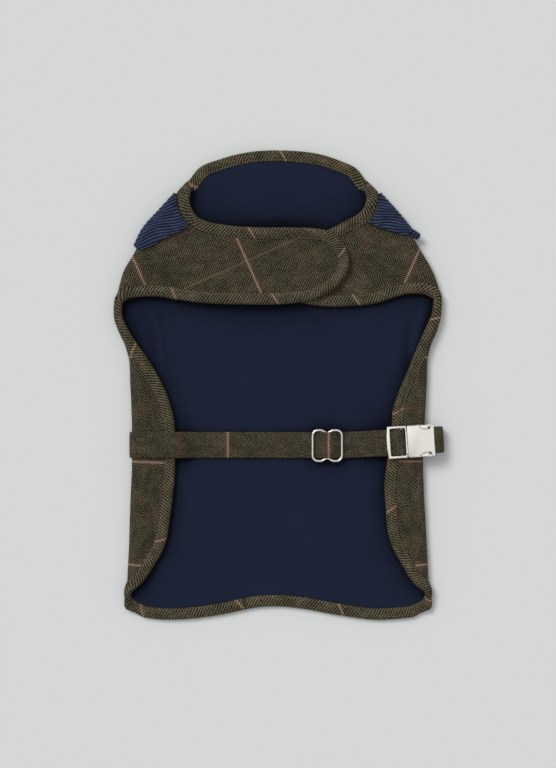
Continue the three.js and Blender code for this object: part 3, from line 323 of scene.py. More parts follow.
def lift(x, y):
    """How high the back's tweed lies: over the collar, over the belt's ends and beside the hem"""
    collar = COLLAR_LIFT * smooth((above_line(x, y, COLLAR_EDGE) + COLLAR_EASE) / COLLAR_SLOPE)
    inward = np.where(x < 0, x - BELT_ROLL_X[-1], BELT_ROLL_X[1] - x)
    near_belt = smooth((BELT_BESIDE - np.abs(above_line(x, y, BELT_LINE))) / BELT_BESIDE_SLOPE)
    belt = BELT_LIFT * near_belt * smooth((BELT_INWARD - inward) / BELT_INWARD_SLOPE)
    low = HEM_LIFT * (1 - smooth((above_line(x, y, HEM) - HEM_FLAT) / HEM_SLOPE))
    return np.maximum(np.maximum(collar, belt), low)


# The folded panel
def ways(side):
    """The direction in plan towards the coat at each row of a side"""
    places = np.array([(row.x, row.y) for row in side])
    ahead = np.concatenate([places[1:], places[-1:]])
    behind = np.concatenate([places[:1], places[:-1]])
    step = unit(ahead - behind)
    hand = 1 if side[0].x < 0 else -1
    found = np.stack([hand * step[:, 1], -hand * step[:, 0]], axis=1)
    for i, row in enumerate(side):
        if row.way:
            found[i] = row.way
    return found


def roll_fields(side):
    """For each row of a side: start x and y, way x and y, radius, height, angle, length and slip"""
    rows = []
    for i, (row, way) in enumerate(zip(side, ways(side))):
        angle = math.radians(row.turn)
        round_length = math.pi * row.radius
        if row.reach:
            length = row.reach
        elif i < NOTCH:
            length = round_length + row.wrap - row.radius - TAPE_REACH
        else:
            length = round_length
        out = row.radius
        if angle < math.pi / 2:
            out = row.radius * math.sin(angle) + (length - row.radius * angle) * math.cos(angle)
        start = (row.x + out * way[0], row.y + out * way[1])
        rows.append((*start, *way, row.radius, row.lift, angle, length, row.slip))
    return np.array(rows)


def fields_at(side, rows):
    """A side's roll at rows that may lie between those of its table"""
    knots = lengths_along(np.array([(row.x, row.y) for row in side]))
    places = np.interp(rows, np.arange(len(side)), knots)
    return spline(roll_fields(side), knots, places, level=True)


LAY_DOWN = 24


def roll_point(field, distance, edge_height):
    """The point of a roll at a distance along its cloth. Past the roll it lies down to its edge."""
    x, y, way_x, way_y, radius, foot, angle, length, slip = field
    bent = min(distance, radius * angle)
    turn = bent / radius
    flat = distance - bent
    out = radius * math.sin(turn) + flat * math.cos(angle)
    z = foot + radius * (1 - math.cos(turn)) + flat * math.sin(angle)
    if flat > 0 and edge_height is not None:
        z = lerp(z, edge_height, smooth(flat / max(length - radius * angle, LAY_DOWN)))
    slipped = slip * float(smooth(turn / math.pi))
    return (x - out * way_x, y - out * way_y - slipped, z)


ROLL_STEPS = 12
WRAP_STEPS = 10
SIDE_STEPS = ROLL_STEPS + WRAP_STEPS
KNEE_SHARE = 0.6
WHOLE_ROW = 2


def wrap_points(field, row):
    """A side's cloth at one row from the start of its roll, with its place in the cut"""
    length = field[7]
    knee = min(field[4] * field[6], length * KNEE_SHARE)
    edge = roll_point(field, length, None)
    beneath = edge[0] + math.copysign(TAPE_LIP, edge[0])
    height = float(lift(beneath, edge[1])) + EDGE_HEIGHT
    laid_share = float(smooth(row - WHOLE_ROW)) if row < NOTCH else 0
    points, cut = [], []
    for step in range(SIDE_STEPS + 1):
        if row >= NOTCH:
            distance = length * step / SIDE_STEPS
        elif step <= ROLL_STEPS:
            distance = knee * step / ROLL_STEPS
        else:
            distance = lerp(knee, length, (step - ROLL_STEPS) / WRAP_STEPS)
        plain = np.array(roll_point(field, distance, None))
        laid = np.array(roll_point(field, distance, height))
        points.append(lerp(plain, laid, laid_share))
        cut.append((field[0] - field[2] * distance, field[1] - field[3] * distance))
    return np.array(points), np.array(cut)


def chest_cut(points, hand):
    """The place in the cut of points of a chest strap"""
    lean = (math.cos(CHEST_LEAN), math.sin(CHEST_LEAN))
    start_across, start_along = CHEST_CUT[hand]
    along = -hand * lean[0] * points[:, 0] + lean[1] * points[:, 1] + start_along
    across = -lean[1] * points[:, 0] - hand * lean[0] * points[:, 1] + start_across
    return np.stack([across, along], axis=1)


def strap_points(strap, row, roll, hand, steps):
    """A strap's cloth at one row, on from the last point of the shoulder roll to the tip, with its cut"""
    share = (row - NOTCH) / (len(LEFT_SIDE) - 1 - NOTCH)
    neck_x, neck_y, chest_x, chest_y, height = np.array(strap, float).T
    long = np.hypot(neck_x - chest_x, neck_y - chest_y)
    at = lerp(TAPE_REACH / long, 1 - TAPE_REACH / long, share)
    x = lerp(chest_x, neck_x, at)
    y = lerp(chest_y, neck_y, at)
    z = lift(x, y + STRAP_MARGIN) + height
    points = np.concatenate([roll[-1:], np.stack([x, y, z], axis=1)])
    knots = running_total(STRAP_RUNS[: len(strap)])
    fine = spline(points, knots, np.linspace(0, knots[-1], steps + 1))[1:]
    return fine, chest_cut(fine, hand)


def fold_jump(roll, roll_cut, hand):
    """How far a shoulder roll's cut is from the cut of its chest strap, where they meet"""
    return roll_cut[-1] - chest_cut(roll[-1:], hand)[0]


def ease_cut(points, cut, jump):
    """A row's cut, changed by a jump at its first point and less and less under the coat"""
    return cut - jump * (1 - smooth(lengths_along(points) / FOLD_BLEND))[:, None]


BACK_STEPS = 76
LEFT_STRAP_STEPS = 58
RIGHT_STRAP_STEPS = 44
ROW_LENGTH = 3.6
SIDE_SHARE = 0.07
UNDER_STEPS = 5


def fine_rows():
    """Rows about as far apart as ROW_LENGTH, with each row of the tables among them"""
    rows = [0.0]
    for i in range(len(LEFT_SIDE) - 1):
        long = max(math.dist(side[i][:2], side[i + 1][:2]) for side in (LEFT_SIDE, RIGHT_SIDE))
        steps = math.ceil(long / ROW_LENGTH)
        rows += [i + (step + 1) / steps for step in range(steps)]
    return np.array(rows)


def four_sided(left, right, low, high, across, up):
    """A grid in plan, blended from points down both sides and curves along both ends"""
    low = along_curve([left[0], *low, right[0]], across)
    high = along_curve([left[-1], *high, right[-1]], across)
    u, v = across[None, :, None], up[:, None, None]
    start, end = left[:, None], right[:, None]
    corners = lerp(lerp(start[:1], end[:1], u), lerp(start[-1:], end[-1:], u), v)
    return lerp(low[None], high[None], v) + lerp(start, end, u) - corners


def back_points(left, right):
    """The back between the two rolls, blended from its four edges"""
    shares = np.linspace(0, 1, BACK_STEPS + 1)
    hem = [(x, y + TAPE_REACH) for x, y in HEM]
    neck = [(x, y - TAPE_REACH) for x, y in BACK_NECK]
    up = (left[:, 1] - left[0, 1]) / (left[-1, 1] - left[0, 1])
    plan = four_sided(left[:, :2], right[:, :2], hem, neck, shares, up)
    z = lift(plan[..., 0], plan[..., 1])
    z = lerp(left[:, 5:6], z, smooth(shares / SIDE_SHARE)[None])
    z = lerp(right[:, 5:6], z, smooth((1 - shares) / SIDE_SHARE)[None])
    return np.concatenate([plan, z[..., None]], axis=2)


def crease_heights(points, over):
    """How far the soft creases raise some points"""
    raised = np.zeros(len(points))
    to_belt = np.abs(above_line(points[:, 0], points[:, 1], BELT_LINE))
    beside_belt = smooth((to_belt - BELT_WIDTH / 2 - BELT_CLEAR) / BELT_CLEAR_SLOPE)
    for crease in CREASES:
        if crease.over != over:
            continue
        start = np.array((crease.x0, crease.y0))
        run = np.array((crease.x1, crease.y1)) - start
        long = np.linalg.norm(run)
        way = run / long
        from_start = points[:, :2] - start
        share = from_start @ way / long
        bow = crease.bow * np.sin(np.pi * np.clip(share, 0, 1))
        across = from_start @ np.array((-way[1], way[0])) - bow
        fades = (smooth((end + CREASE_PAST) / CREASE_SLOPE) for end in (share, 1 - share))
        raised += crease.height * np.exp(-((across / crease.width) ** 2)) * math.prod(fades) * beside_belt
    return raised


Face = namedtuple("Face", "points normals quads cut tree")


def vertex_normals(points, quads):
    """Normals at the points of a mesh of four-sided faces"""
    a, b, c, d = (points[quads[:, i]] for i in range(4))
    across = np.cross(c - a, d - b)
    normals = np.zeros_like(points)
    for i in range(4):
        np.add.at(normals, quads[:, i], across)
    return unit(normals)


def cloth_row(row, fields, middle, jumps):
    """One row of the panel from left to right: its points, their cut, and which lie over the back"""
    wraps = [wrap_points(field, row) for field in fields]
    if row >= NOTCH:
        jumps = [fold_jump(*wrap, hand) for wrap, hand in zip(wraps, (-1, 1))]
    else:
        jumps = [jump * smooth((row - NOTCH) / NOTCH_BLEND + 1) for jump in jumps]
    (left, left_cut), (right, right_cut) = wraps
    points = np.concatenate([left[::-1], middle, right])
    cut = ease_cut(points, np.concatenate([left_cut[::-1], middle[:, :2], right_cut]), jumps[0])
    cut = ease_cut(points[::-1], cut[::-1], jumps[1])[::-1]
    reach = SIDE_STEPS + 1 - UNDER_STEPS
    over = np.full(len(points), True)
    over[reach:-reach] = False
    if row < NOTCH:
        return points, cut, over
    first, first_cut = strap_points(LEFT_STRAP, row, left, -1, LEFT_STRAP_STEPS)
    last, last_cut = strap_points(RIGHT_STRAP, row, right, 1, RIGHT_STRAP_STEPS)
    points = np.concatenate([first[::-1], points, last])
    cut = np.concatenate([first_cut[::-1], cut, last_cut])
    return points, cut, np.pad(over, (LEFT_STRAP_STEPS, RIGHT_STRAP_STEPS), constant_values=True)


def row_quads(sizes):
    """The four-sided faces between rows of points, where the straps start between two of the rows"""
    ends = running_total(sizes)
    numbers = [np.arange(first, end) for first, end in zip(ends[:-1], ends[1:])]
    quads = []
    for low, high in zip(numbers[:-1], numbers[1:]):
        if len(low) != len(high):
            high = high[LEFT_STRAP_STEPS : LEFT_STRAP_STEPS + len(low)]
        quads.append(np.stack([low[:-1], high[:-1], high[1:], low[1:]], axis=1))
    return np.concatenate(quads)


@lru_cache(maxsize=None)
def panel():
    """The tweed side of the whole folded panel, facing out"""
    rows = fine_rows()
    sides = fields_at(LEFT_SIDE, rows), fields_at(RIGHT_SIDE, rows)
    back = back_points(*sides)[:, 1:-1]
    notch = int(np.argmax(rows >= NOTCH))
    jumps = [fold_jump(*wrap_points(side[notch], NOTCH), hand) for side, hand in zip(sides, (-1, 1))]
    made = [cloth_row(row, fields, middle, jumps) for row, *fields, middle in zip(rows, *sides, back)]
    points, cut, over = (np.concatenate(parts) for parts in zip(*made))
    quads = row_quads([len(each[0]) for each in made])
    under_raised = np.maximum(crease_heights(points, False), 0)
    points[:, 2] += np.where(over, crease_heights(points, True), under_raised)
    normals = vertex_normals(points, quads)
    tree = BVHTree.FromPolygons([tuple(p) for p in points], [tuple(q) for q in quads.tolist()])
    return Face(points, normals, quads, cut, tree)


def open_ring(quads):
    """The points round the open edge of a mesh, in order"""
    edges = np.concatenate([quads[:, [i, (i + 1) % 4]] for i in range(4)])
    used = set(map(tuple, edges.tolist()))
    following = {a: b for a, b in used if (b, a) not in used}
    start = min(following)
    ring = [start]
    while following[ring[-1]] != start:
        ring.append(following[ring[-1]])
    return np.array(ring)


# Meshes
def placed(name, data):
    """A new object in the scene"""
    made = bpy.data.objects.new(name, data)
    bpy.context.scene.collection.objects.link(made)
    return made


def add_piece(name, points, faces, cut, material, slot, stands_for=()):
    """A new piece of the coat, with its place in the cut as its UV map"""
    mesh = bpy.data.meshes.new(name)
    mesh.from_pydata((np.asarray(points, float) * MM).tolist(), [], [tuple(face) for face in faces])
    mesh.update()
    corner_points = np.empty(len(mesh.loops), int)
    mesh.loops.foreach_get("vertex_index", corner_points)
    layer = mesh.uv_layers.new(name=CUT)
    layer.data.foreach_set("uv", (np.asarray(cut, float)[corner_points] * MM).astype(np.float32).ravel())
    mesh.materials.append(material)
    mesh.shade_smooth()
    piece = placed(name, mesh)
    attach(piece, "root")
    if stands_for:
        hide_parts(*stands_for)
    return piece


def wall(face, outer, inner):
    """Points, faces and cut of a closed wall between two depths under a face"""
    count = len(face.points)
    top = face.points - face.normals * outer
    under = face.points - face.normals * inner
    ring = open_ring(face.quads)
    following = np.roll(ring, -1)
    sides = np.stack([following, ring, ring + count, following + count], axis=1)
    quads = np.concatenate([face.quads, face.quads[:, ::-1] + count, sides])
    return np.concatenate([top, under]), quads.tolist(), np.concatenate([face.cut, face.cut])


def cut_sizes(face):
    """The width and length that a face was cut from, and its flat area, in metres"""
    a, b, c, d = (face.cut[face.quads[:, i]] for i in range(4))
    across, down = c - a, d - b
    area = np.abs(across[:, 0] * down[:, 1] - across[:, 1] * down[:, 0]).sum() / 2
    width, length = np.ptp(face.cut, axis=0)
    return (width * MM, length * MM), area * MM * MM


def sweep(rings, closed=False):
    """Points and faces of a tube through rings of points. A closed one joins its last ring to its first."""
    rings = np.asarray(rings, float)
    count, size = rings.shape[:2]
    around = np.arange(size)
    faces = []
    for ring in range(count if closed else count - 1):
        low = ring * size + around
        high = ((ring + 1) % count) * size + around
        faces += np.stack([low, np.roll(low, -1), np.roll(high, -1), high], axis=1).tolist()
    if not closed:
        faces.append(list(range(size))[::-1])
        faces.append([(count - 1) * size + i for i in range(size)])
    return rings.reshape(-1, 3), faces


def grid_cut(across, along):
    """The place in the cut of each point of some rings: across by the point and along by the ring"""
    places = np.broadcast_arrays(across[None], along[:, None])
    return np.stack(places, axis=2).reshape(-1, 2)


def facing_out(points, faces):
    """The faces, turned over if the closed mesh is inside out"""
    points = np.asarray(points)
    volume = 0
    for face in faces:
        a = points[face[0]]
        for i in range(1, len(face) - 1):
            volume += np.dot(a, np.cross(points[face[i]], points[face[i + 1]]))
    return faces if volume > 0 else [list(face)[::-1] for face in faces]


# The binding round the panel's whole edge
RIM_STEP = 3
CORNER_TURN = 0.45
MITRE_REACH = 8
MITRE_LIMIT = 1.5
TAPE_STATIONS = (0.6, 2.4, 4.6, 6.2, 7.1, 7.7, 8.3, 9, TAPE_LIP)
TAPE_HEIGHTS = (1.25, 1.32, 1.42, 1.4, 1.25, 0.95, 0.6, 0.98, 0.98, 0.3)
TAPE_CROWN = (1.5, 1.8, 2.3, 2.35, 2.05, 1.5, 0.75, 0.95, 0.75, 0.1)
MITRE_TURN = 1.2
NOSE_ANGLES = (55, 0, -55)
NOSE_CUT = (-1.2, -2.4, -1.2)

# The tape's hidden faces between its two layers: the stations that they run through, and their cut
INSIDE = (-2, 2)
INSIDE_CUT = (9, 2, 2, 9)

# A stitch: its radius, how far it stands up, and its sections as share and size
STITCH_AT = 7.7
STITCH_RADIUS = 0.22
STITCH_RAISE = 0.4
STITCH_SIDES = 6
STITCH_SECTIONS = ((0, 0.35), (0.25, 1), (0.75, 1), (1, 0.35))

ENDS_Y = 200
CHECK_SPACING = 94
HEM_CHECK_X = -35
NECK_CHECK_X = 1.4


def turns(points, normals):
    """The angle that a closed line on the cloth turns at each of its points"""
    ways = (points - np.roll(points, 1, axis=0), np.roll(points, -1, axis=0) - points)
    behind, ahead = (unit(way - normals * (way * normals).sum(axis=1)[:, None]) for way in ways)
    crossed = (np.cross(behind, ahead) * normals).sum(axis=1)
    return np.arctan2(crossed, (behind * ahead).sum(axis=1)), unit(behind + ahead)


def even_rim():
    """The panel's open edge at even steps that keep its corners: places and normals"""
    face = panel()
    ring = open_ring(face.quads)
    line = np.concatenate([face.points[ring], face.normals[ring]], axis=1)
    corners = np.flatnonzero(np.abs(turns(line[:, :3], line[:, 3:])[0]) > CORNER_TURN)
    line = np.roll(line, -corners[0], axis=0)
    line = np.concatenate([line, line[:1]])
    ends = [*(corners - corners[0]), len(ring)]
    rows = []
    for start, end in zip(ends[:-1], ends[1:]):
        stretch = line[start : end + 1]
        far = lengths_along(stretch[:, :3])
        steps = max(1, round(far[-1] / RIM_STEP))
        places = np.linspace(0, far[-1], steps, endpoint=False)
        rows.append(np.stack([np.interp(places, far, stretch[:, i]) for i in range(6)], axis=1))
    rows = np.concatenate(rows)
    return rows[:, :3], unit(rows[:, 3:])


def cloth_normal(face, place, index):
    """The smooth normal at a place on one of the face's quads"""
    corners = face.points[face.quads[index]]
    a, b, _, d = corners
    down, across = b - a, d - a
    t = np.clip(np.dot(place - a, down) / max(np.dot(down, down), 1e-9), 0, 1)
    s = np.clip(np.dot(place - a, across) / max(np.dot(across, across), 1e-9), 0, 1)
    na, nb, nc, nd = face.normals[face.quads[index]]
    mixed = lerp(lerp(na, nb, t), lerp(nd, nc, t), s)
    return mixed / np.linalg.norm(mixed)


Rim = namedtuple("Rim", "places normals tangents ways reach far")


@lru_cache(maxsize=None)
def rim():
    """The open edge with, at each place, the way in over the cloth, mitred at the corners"""
    places, normals = even_rim()
    angles, tangents = turns(places, normals)
    steps = np.linalg.norm(np.roll(places, -1, axis=0) - places, axis=1)
    far = running_total(steps)
    turned = np.cumsum(angles) - angles / 2
    apart = far[None, :-1] - far[:-1, None]
    laps = np.round(apart / far[-1])
    weights = np.exp(-(((apart - laps * far[-1]) / MITRE_REACH) ** 2) / 2)
    weights /= weights.sum(axis=1, keepdims=True)
    lean = (weights * (turned[None, :] - laps * angles.sum())).sum(axis=1) - turned
    square = np.cross(normals, tangents)
    ways = square * np.cos(lean)[:, None] - tangents * np.sin(lean)[:, None]
    reach = 1 / np.cos(np.minimum(np.abs(lean) + np.abs(angles) / 2, MITRE_TURN))
    return Rim(places, normals, tangents, ways, np.minimum(reach, MITRE_LIMIT), far)


@lru_cache(maxsize=None)
def rim_stations():
    """Places and normals on the cloth at each of the tape's distances in from the edge"""
    face, edge = panel(), rim()
    rows = []
    for place, normal, way, reach in zip(edge.places, edge.normals, edge.ways, edge.reach):
        row = [(place, normal)]
        gone = 0
        for distance in TAPE_STATIONS:
            ahead = place + way * (distance - gone) * reach
            near, _, index, _ = face.tree.find_nearest(ahead.tolist())
            place = np.array(near)
            normal = cloth_normal(face, place, index)
            way = unit(way - normal * np.dot(way, normal))
            gone = distance
            row.append((place, normal))
        rows.append(row)
    return np.array(rows)


def check_shares():
    """The distance round the edge, stretched so that the checks meet hem and neck where they show"""
    edge = rim()
    hem = np.flatnonzero(edge.places[:, 1] < -ENDS_Y)
    neck = np.flatnonzero((edge.places[:, 1] > ENDS_Y) & (edge.places[:, 2] < EDGE_HEIGHT))
    low = edge.far[hem[np.argmin(np.abs(edge.places[hem, 0] - HEM_CHECK_X))]]
    high = edge.far[neck[np.argmin(np.abs(edge.places[neck, 0] - NECK_CHECK_X))]]
    total = edge.far[-1]
    if high < low:
        high += total
    up = max(1, round((high - low) / CHECK_SPACING)) * CHECK_SPACING
    down = max(1, round((low + total - high) / CHECK_SPACING)) * CHECK_SPACING
    marks = np.array([low, high, low + total, high + total])
    values = np.array([0, up, up + down, up + down + up])
    return np.interp(np.where(edge.far < low, edge.far + total, edge.far), marks, values)


def tape_heights(side):
    """How far the tape stands off one side of the cloth at each station: rounder where it faces up"""
    up = smooth(rim_stations()[:, :, 1, 2] * side * 2)
    return lerp(np.array(TAPE_HEIGHTS), np.array(TAPE_CROWN), up)


def binding_mesh():
    """Points, faces and cut of the tape: out over the tweed, round the edge and back over the lining"""
    edge = rim()
    stations = rim_stations()
    over = stations[:, :, 0] + stations[:, :, 1] * tape_heights(1)[..., None]
    under = stations[:, :, 0] - stations[:, :, 1] * (tape_heights(-1)[..., None] + PANEL)
    middle = edge.places - edge.normals * PANEL / 2
    half = PANEL / 2 + TAPE_HEIGHTS[0]
    nose = []
    for angle in NOSE_ANGLES:
        turn = math.radians(angle)
        out = edge.ways * (edge.reach * TAPE_REACH * math.cos(turn))[:, None]
        nose.append(middle - out + edge.normals * half * math.sin(turn))
    nose = np.stack(nose, axis=1)
    inside = [stations[:, i, 0] - stations[:, i, 1] * (PANEL + SEAM / 2) for i in INSIDE]
    inside += [stations[:, i, 0] + stations[:, i, 1] * SEAM / 2 for i in INSIDE[::-1]]
    rings = np.concatenate([over[:, ::-1], nose, under, np.stack(inside, axis=1)], axis=1)
    points, faces = sweep(rings, closed=True)
    across = np.array([*TAPE_STATIONS[::-1], 0, *NOSE_CUT, 0, *TAPE_STATIONS, *INSIDE_CUT])
    across[len(TAPE_STATIONS) + len(NOSE_CUT) :] *= -1
    return points, facing_out(points, faces), grid_cut(across, check_shares())


def stitch_mesh(length):
    """Small stitches along the lip of the tape, on both sides of the coat"""
    edge = rim()
    stations = rim_stations()
    at = TAPE_STATIONS.index(STITCH_AT) + 1
    angles = [turn * 2 * math.pi / STITCH_SIDES for turn in range(STITCH_SIDES)]
    corners = sweep(np.zeros((len(STITCH_SECTIONS), STITCH_SIDES, 3)))[1]
    points, faces, cut = [], [], []
    for side in (1, -1):
        height = tape_heights(side)[:, at, None]
        depth = height if side > 0 else -PANEL - height
        places = stations[:, at, 0] + stations[:, at, 1] * depth
        following = np.roll(places, -1, axis=0)
        for place, ahead, normal, far in zip(places, following, stations[:, at, 1], edge.far):
            gap = np.linalg.norm(ahead - place)
            if gap < length or gap > 2 * RIM_STEP:
                continue
            way = (ahead - place) / gap
            out = normal * side
            across = np.cross(way, out)
            faces += [[corner + len(points) for corner in face] for face in corners]
            for share, size in STITCH_SECTIONS:
                centre = place + way * share * length
                for angle in angles:
                    bit = across * math.cos(angle) + out * (math.sin(angle) + STITCH_RAISE)
                    points.append(centre + bit * STITCH_RADIUS * size)
                    cut.append((0, far))
    return np.array(points), faces, np.array(cut)


# The collar. Its wales lean a little at the left end and waver, by the size of each of some waves and
# their lengths down and up the collar. They rise from a turn of WALES_FROM round the shoulder roll on.
WALE = 2.95
WALE_LEAN = 0.3
WALE_LEAN_OVER = 80
WALE_WAVES = ((1.5, 12, 10), (0.55, 4.3, -6))
WALE_ROUNDNESS = 0.8
WALES_FROM = 0.5
WALES_FADE = 0.7
TOUCH_DOWN = 3
ABOVE_ALL = 100
COLLAR_ROWS = 132
COLLAR_ARC_STEPS = 36
COLLAR_TOP_STEPS = 54
COLLAR_UNDER_STEPS = 60


def top_height(x, y, below=ABOVE_ALL):
    """The height of the highest tweed at a place in plan, below a given height"""
    hit = panel().tree.ray_cast((x, y, below), (0, 0, -1))[0]
    return None if hit is None else hit[2]


def collar_side(side, seam, hand, share):
    """One side of the collar at one row: round the shoulder roll, then down to its seam on the chest.
    Gives its points and how far each has turned."""
    row = lerp(COLLAR_TIP_ROW[hand], COLLAR_NECK_ROW, share)
    x, y, way_x, way_y, roll_radius, foot, *_ = fields_at(side, np.array([row]))[0]
    way = np.array((way_x, way_y))
    start = np.array((x, y))
    radius = roll_radius + COLLAR_GAP + CORDUROY
    end = along_curve(seam, [share])[0]
    past = float((end - start) @ way)
    turn_all = math.pi if past > 0 else math.pi - math.asin(min(1, -past / radius))
    bend = turn_all * radius
    total = bend + (math.dist(end, start) if past > 0 else 0)
    steps = COLLAR_ARC_STEPS + COLLAR_TOP_STEPS
    knee = min(bend, total * COLLAR_ARC_STEPS / steps)
    aside = end - start - past * way
    points, turned = [], []
    for step in range(steps + 1):
        if step <= COLLAR_ARC_STEPS:
            distance = knee * step / COLLAR_ARC_STEPS
        else:
            distance = lerp(knee, total, (step - COLLAR_ARC_STEPS) / COLLAR_TOP_STEPS)
        turn = min(distance / radius, turn_all)
        flat = (distance - bend) / (total - bend) if min(distance, total) > bend else 0
        drift = flat if past > 0 else (turn / turn_all) ** 2
        plan = lerp(start - radius * math.sin(turn) * way, start + past * way, flat) + drift * aside
        z = foot + roll_radius - radius * math.cos(turn)
        if flat > 0:
            below = top_height(*plan)
            if below is not None:
                z = lerp(z, below + COLLAR_GAP + CORDUROY, float(smooth(flat * TOUCH_DOWN)))
        points.append((*plan, z))
        turned.append(turn)
    return np.array(points), np.array(turned)


def collar_sides(side, seam, hand, shares):
    """One side of the collar at all its rows"""
    rows = [collar_side(side, seam, hand, share) for share in shares]
    return [np.array([row[i] for row in rows]) for i in range(2)]


def grid_quads(rows, columns):
    """The four-sided faces of a grid of points"""
    numbers = np.arange(rows * columns).reshape(rows, columns)
    corners = (numbers[:-1, :-1], numbers[1:, :-1], numbers[1:, 1:], numbers[:-1, 1:])
    return np.stack(corners, axis=-1).reshape(-1, 4)


def collar_face():
    """The collar's outer face with its raised wales, its flat size and its flat area"""
    shares = np.linspace(0, 1, COLLAR_ROWS + 1)
    left, turned_left = collar_sides(LEFT_SIDE, LEFT_SEAM, -1, shares)
    right, turned_right = collar_sides(RIGHT_SIDE, RIGHT_SEAM, 1, shares)
    u = np.linspace(0, 1, COLLAR_UNDER_STEPS + 1)
    start, end = left[:, 0, :2], right[:, 0, :2]
    plan = four_sided(start, end, COLLAR_EDGE[1:-1], NECK_SEAM, u, shares)[:, 1:-1]
    foot = lerp(left[:, :1, 2], right[:, :1, 2], u[None, 1:-1])
    under = np.concatenate([plan, foot[..., None]], axis=2)
    grid = np.concatenate([left[:, ::-1], under, right], axis=1)
    turned = np.concatenate([turned_left[:, ::-1], np.zeros(plan.shape[:2]), turned_right], axis=1)
    columns = grid.shape[1]
    quads = grid_quads(len(shares), columns)
    points = grid.reshape(-1, 3)
    down, high = grid[..., 0], grid[..., 1]
    wale = high - WALE_LEAN * down * smooth(-down / WALE_LEAN_OVER)
    wale = wale + sum(size * np.sin(down / over + high / up) for size, over, up in WALE_WAVES)
    crest = np.abs(np.sin(np.pi * wale / WALE)) ** WALE_ROUNDNESS
    shown = smooth((turned - WALES_FROM) / WALES_FADE)
    raised = (coat_looks().wale_height * shown * crest).reshape(-1, 1)
    points = points + vertex_normals(points, quads) * raised
    cut = np.stack([wale, down], axis=2).reshape(-1, 2)
    aside = np.linalg.norm(np.diff(grid, axis=1), axis=2)
    rise = np.linalg.norm(np.diff(grid, axis=0), axis=2)
    area = (aside[:-1] * rise[:, 1:]).sum()
    flat = (aside.sum(axis=1).max() * MM, rise.sum(axis=0).max() * MM)
    return Face(points, vertex_normals(points, quads), quads, cut, None), flat, area * MM * MM


# The collar's right tip is rolled up: its line in plan, its height, and its sections as share and size
CURL = ((121.5, 148.6), (134, 141.2))
CURL_HEIGHT = 10.5
CURL_RADIUS = 3.5
CURL_SIDES = 16
CURL_SECTIONS = ((0, 0.3), (0.04, 0.75), (0.12, 1), (0.5, 1.05), (0.86, 1), (0.96, 0.75), (1, 0.3))


def collar_curl():
    """Points, faces and cut of the collar's rolled tip"""
    start, end = np.array(CURL)
    way = unit(end - start)
    aside = np.array((-way[1], way[0], 0))
    angles = np.linspace(0, 2 * math.pi, CURL_SIDES, endpoint=False)
    rings, cut = [], []
    for share, size in CURL_SECTIONS:
        middle = np.array((*lerp(start, end, share), CURL_HEIGHT))
        out = np.outer(np.cos(angles), aside) + np.outer(np.sin(angles), (0, 0, 1))
        rings.append(middle + out * CURL_RADIUS * size)
        cut += [(share * math.dist(start, end), angle * CURL_RADIUS) for angle in angles]
    points, faces = sweep(rings)
    return points, facing_out(points, faces), np.array(cut)


def joined(first, second):
    """Two sets of points, faces and cut as one"""
    points, cut = (np.concatenate([first[i], second[i]]) for i in (0, 2))
    moved = [[corner + len(first[0]) for corner in each] for each in second[1]]
    return points, [*first[1], *moved], cut


# The belt
BELT_END = -127
LEFT_ROLL = (-136.8, 6.8)
CROSSBAR = (116.5, 16.3, 0.9)
REAR_BAR = (146.6, 17, 1.2)
SHORT_END = 124
BELT_STEP = 2.2

# The long belt's middle from the left roll to the buckle's bar, and back under it: x and z
BELT_OUT = (
    (-118, 12.4), (-97, 12.1), (-91, 10.6), (-84, 6.6), (-78, 4.8), (-70, 4.5), (-30, 4.5), (8, 4.5),
    (20, 5.2), (28, 6.6), (33.5, 6.8), (38, 9.2), (42, 11.8), (45.5, 12.5), (49, 11.8), (53, 9.2),
    (57, 6.9), (64, 6.9), (78, 7.2), (86, 8.8), (92, 11.2), (98, 13.5), (103, 14.3), (106.5, 14.4),
    (109.5, 15.8), (112.5, 17.8),
)
BELT_BACK = (
    (111, 13.2), (102, 12), (97, 10), (91, 6.8), (84, 4.9), (78, 4.5), (54, 4.5), (47, 5.2), (41, 6.7),
)
SHORT_FLAT = 12
SHORT_BEND = (149.4, 14.7)

# The turns of the belts in degrees from the first to the last, and the steps in each
LEFT_TURN = (-90, -270, 8)
CROSSBAR_TURN = (90, -90, 6)
SHORT_TURN = (-90, 90, 10)
REAR_BAR_TURN = (120, 270, 6)
TUCKED_TURN = (32, -15, 4)

# Half of the belt's section: how far in from its edge, and its share of the thickness
BELT_EDGE = ((0, 0), (0.5, 0.62), (1.8, 0.95), (2.4, 0.72), (3, 0.97), (4.5, 1), (BELT_WIDTH / 2, 1))

# Where each belt's checks start, by x on its upper run, which is higher than UPPER_RUN
CHECKS_AT = {"long_belt": -49.4, "short_belt": 150}
UPPER_RUN = 3
FAR_OFF = 100


def arc(centre, radius, start, end, steps):
    """Points of an arc in a plane of x and z, by degrees from +X towards +Z"""
    angles = [math.radians(lerp(start, end, step / steps)) for step in range(steps + 1)]
    return [(centre[0] + radius * math.cos(a), centre[1] + radius * math.sin(a)) for a in angles]


def long_belt_path():
    """The long belt's middle: round the left roll, out to the buckle's bar and back under itself"""
    loop = CROSSBAR[2] + BELT_GAP + BELT / 2
    round_roll = arc(LEFT_ROLL, LEFT_ROLL[1] - BELT / 2, *LEFT_TURN)
    round_bar = arc(CROSSBAR[:2], loop, *CROSSBAR_TURN)
    return [(BELT_END, BELT / 2), *round_roll, *BELT_OUT, *round_bar, *BELT_BACK]


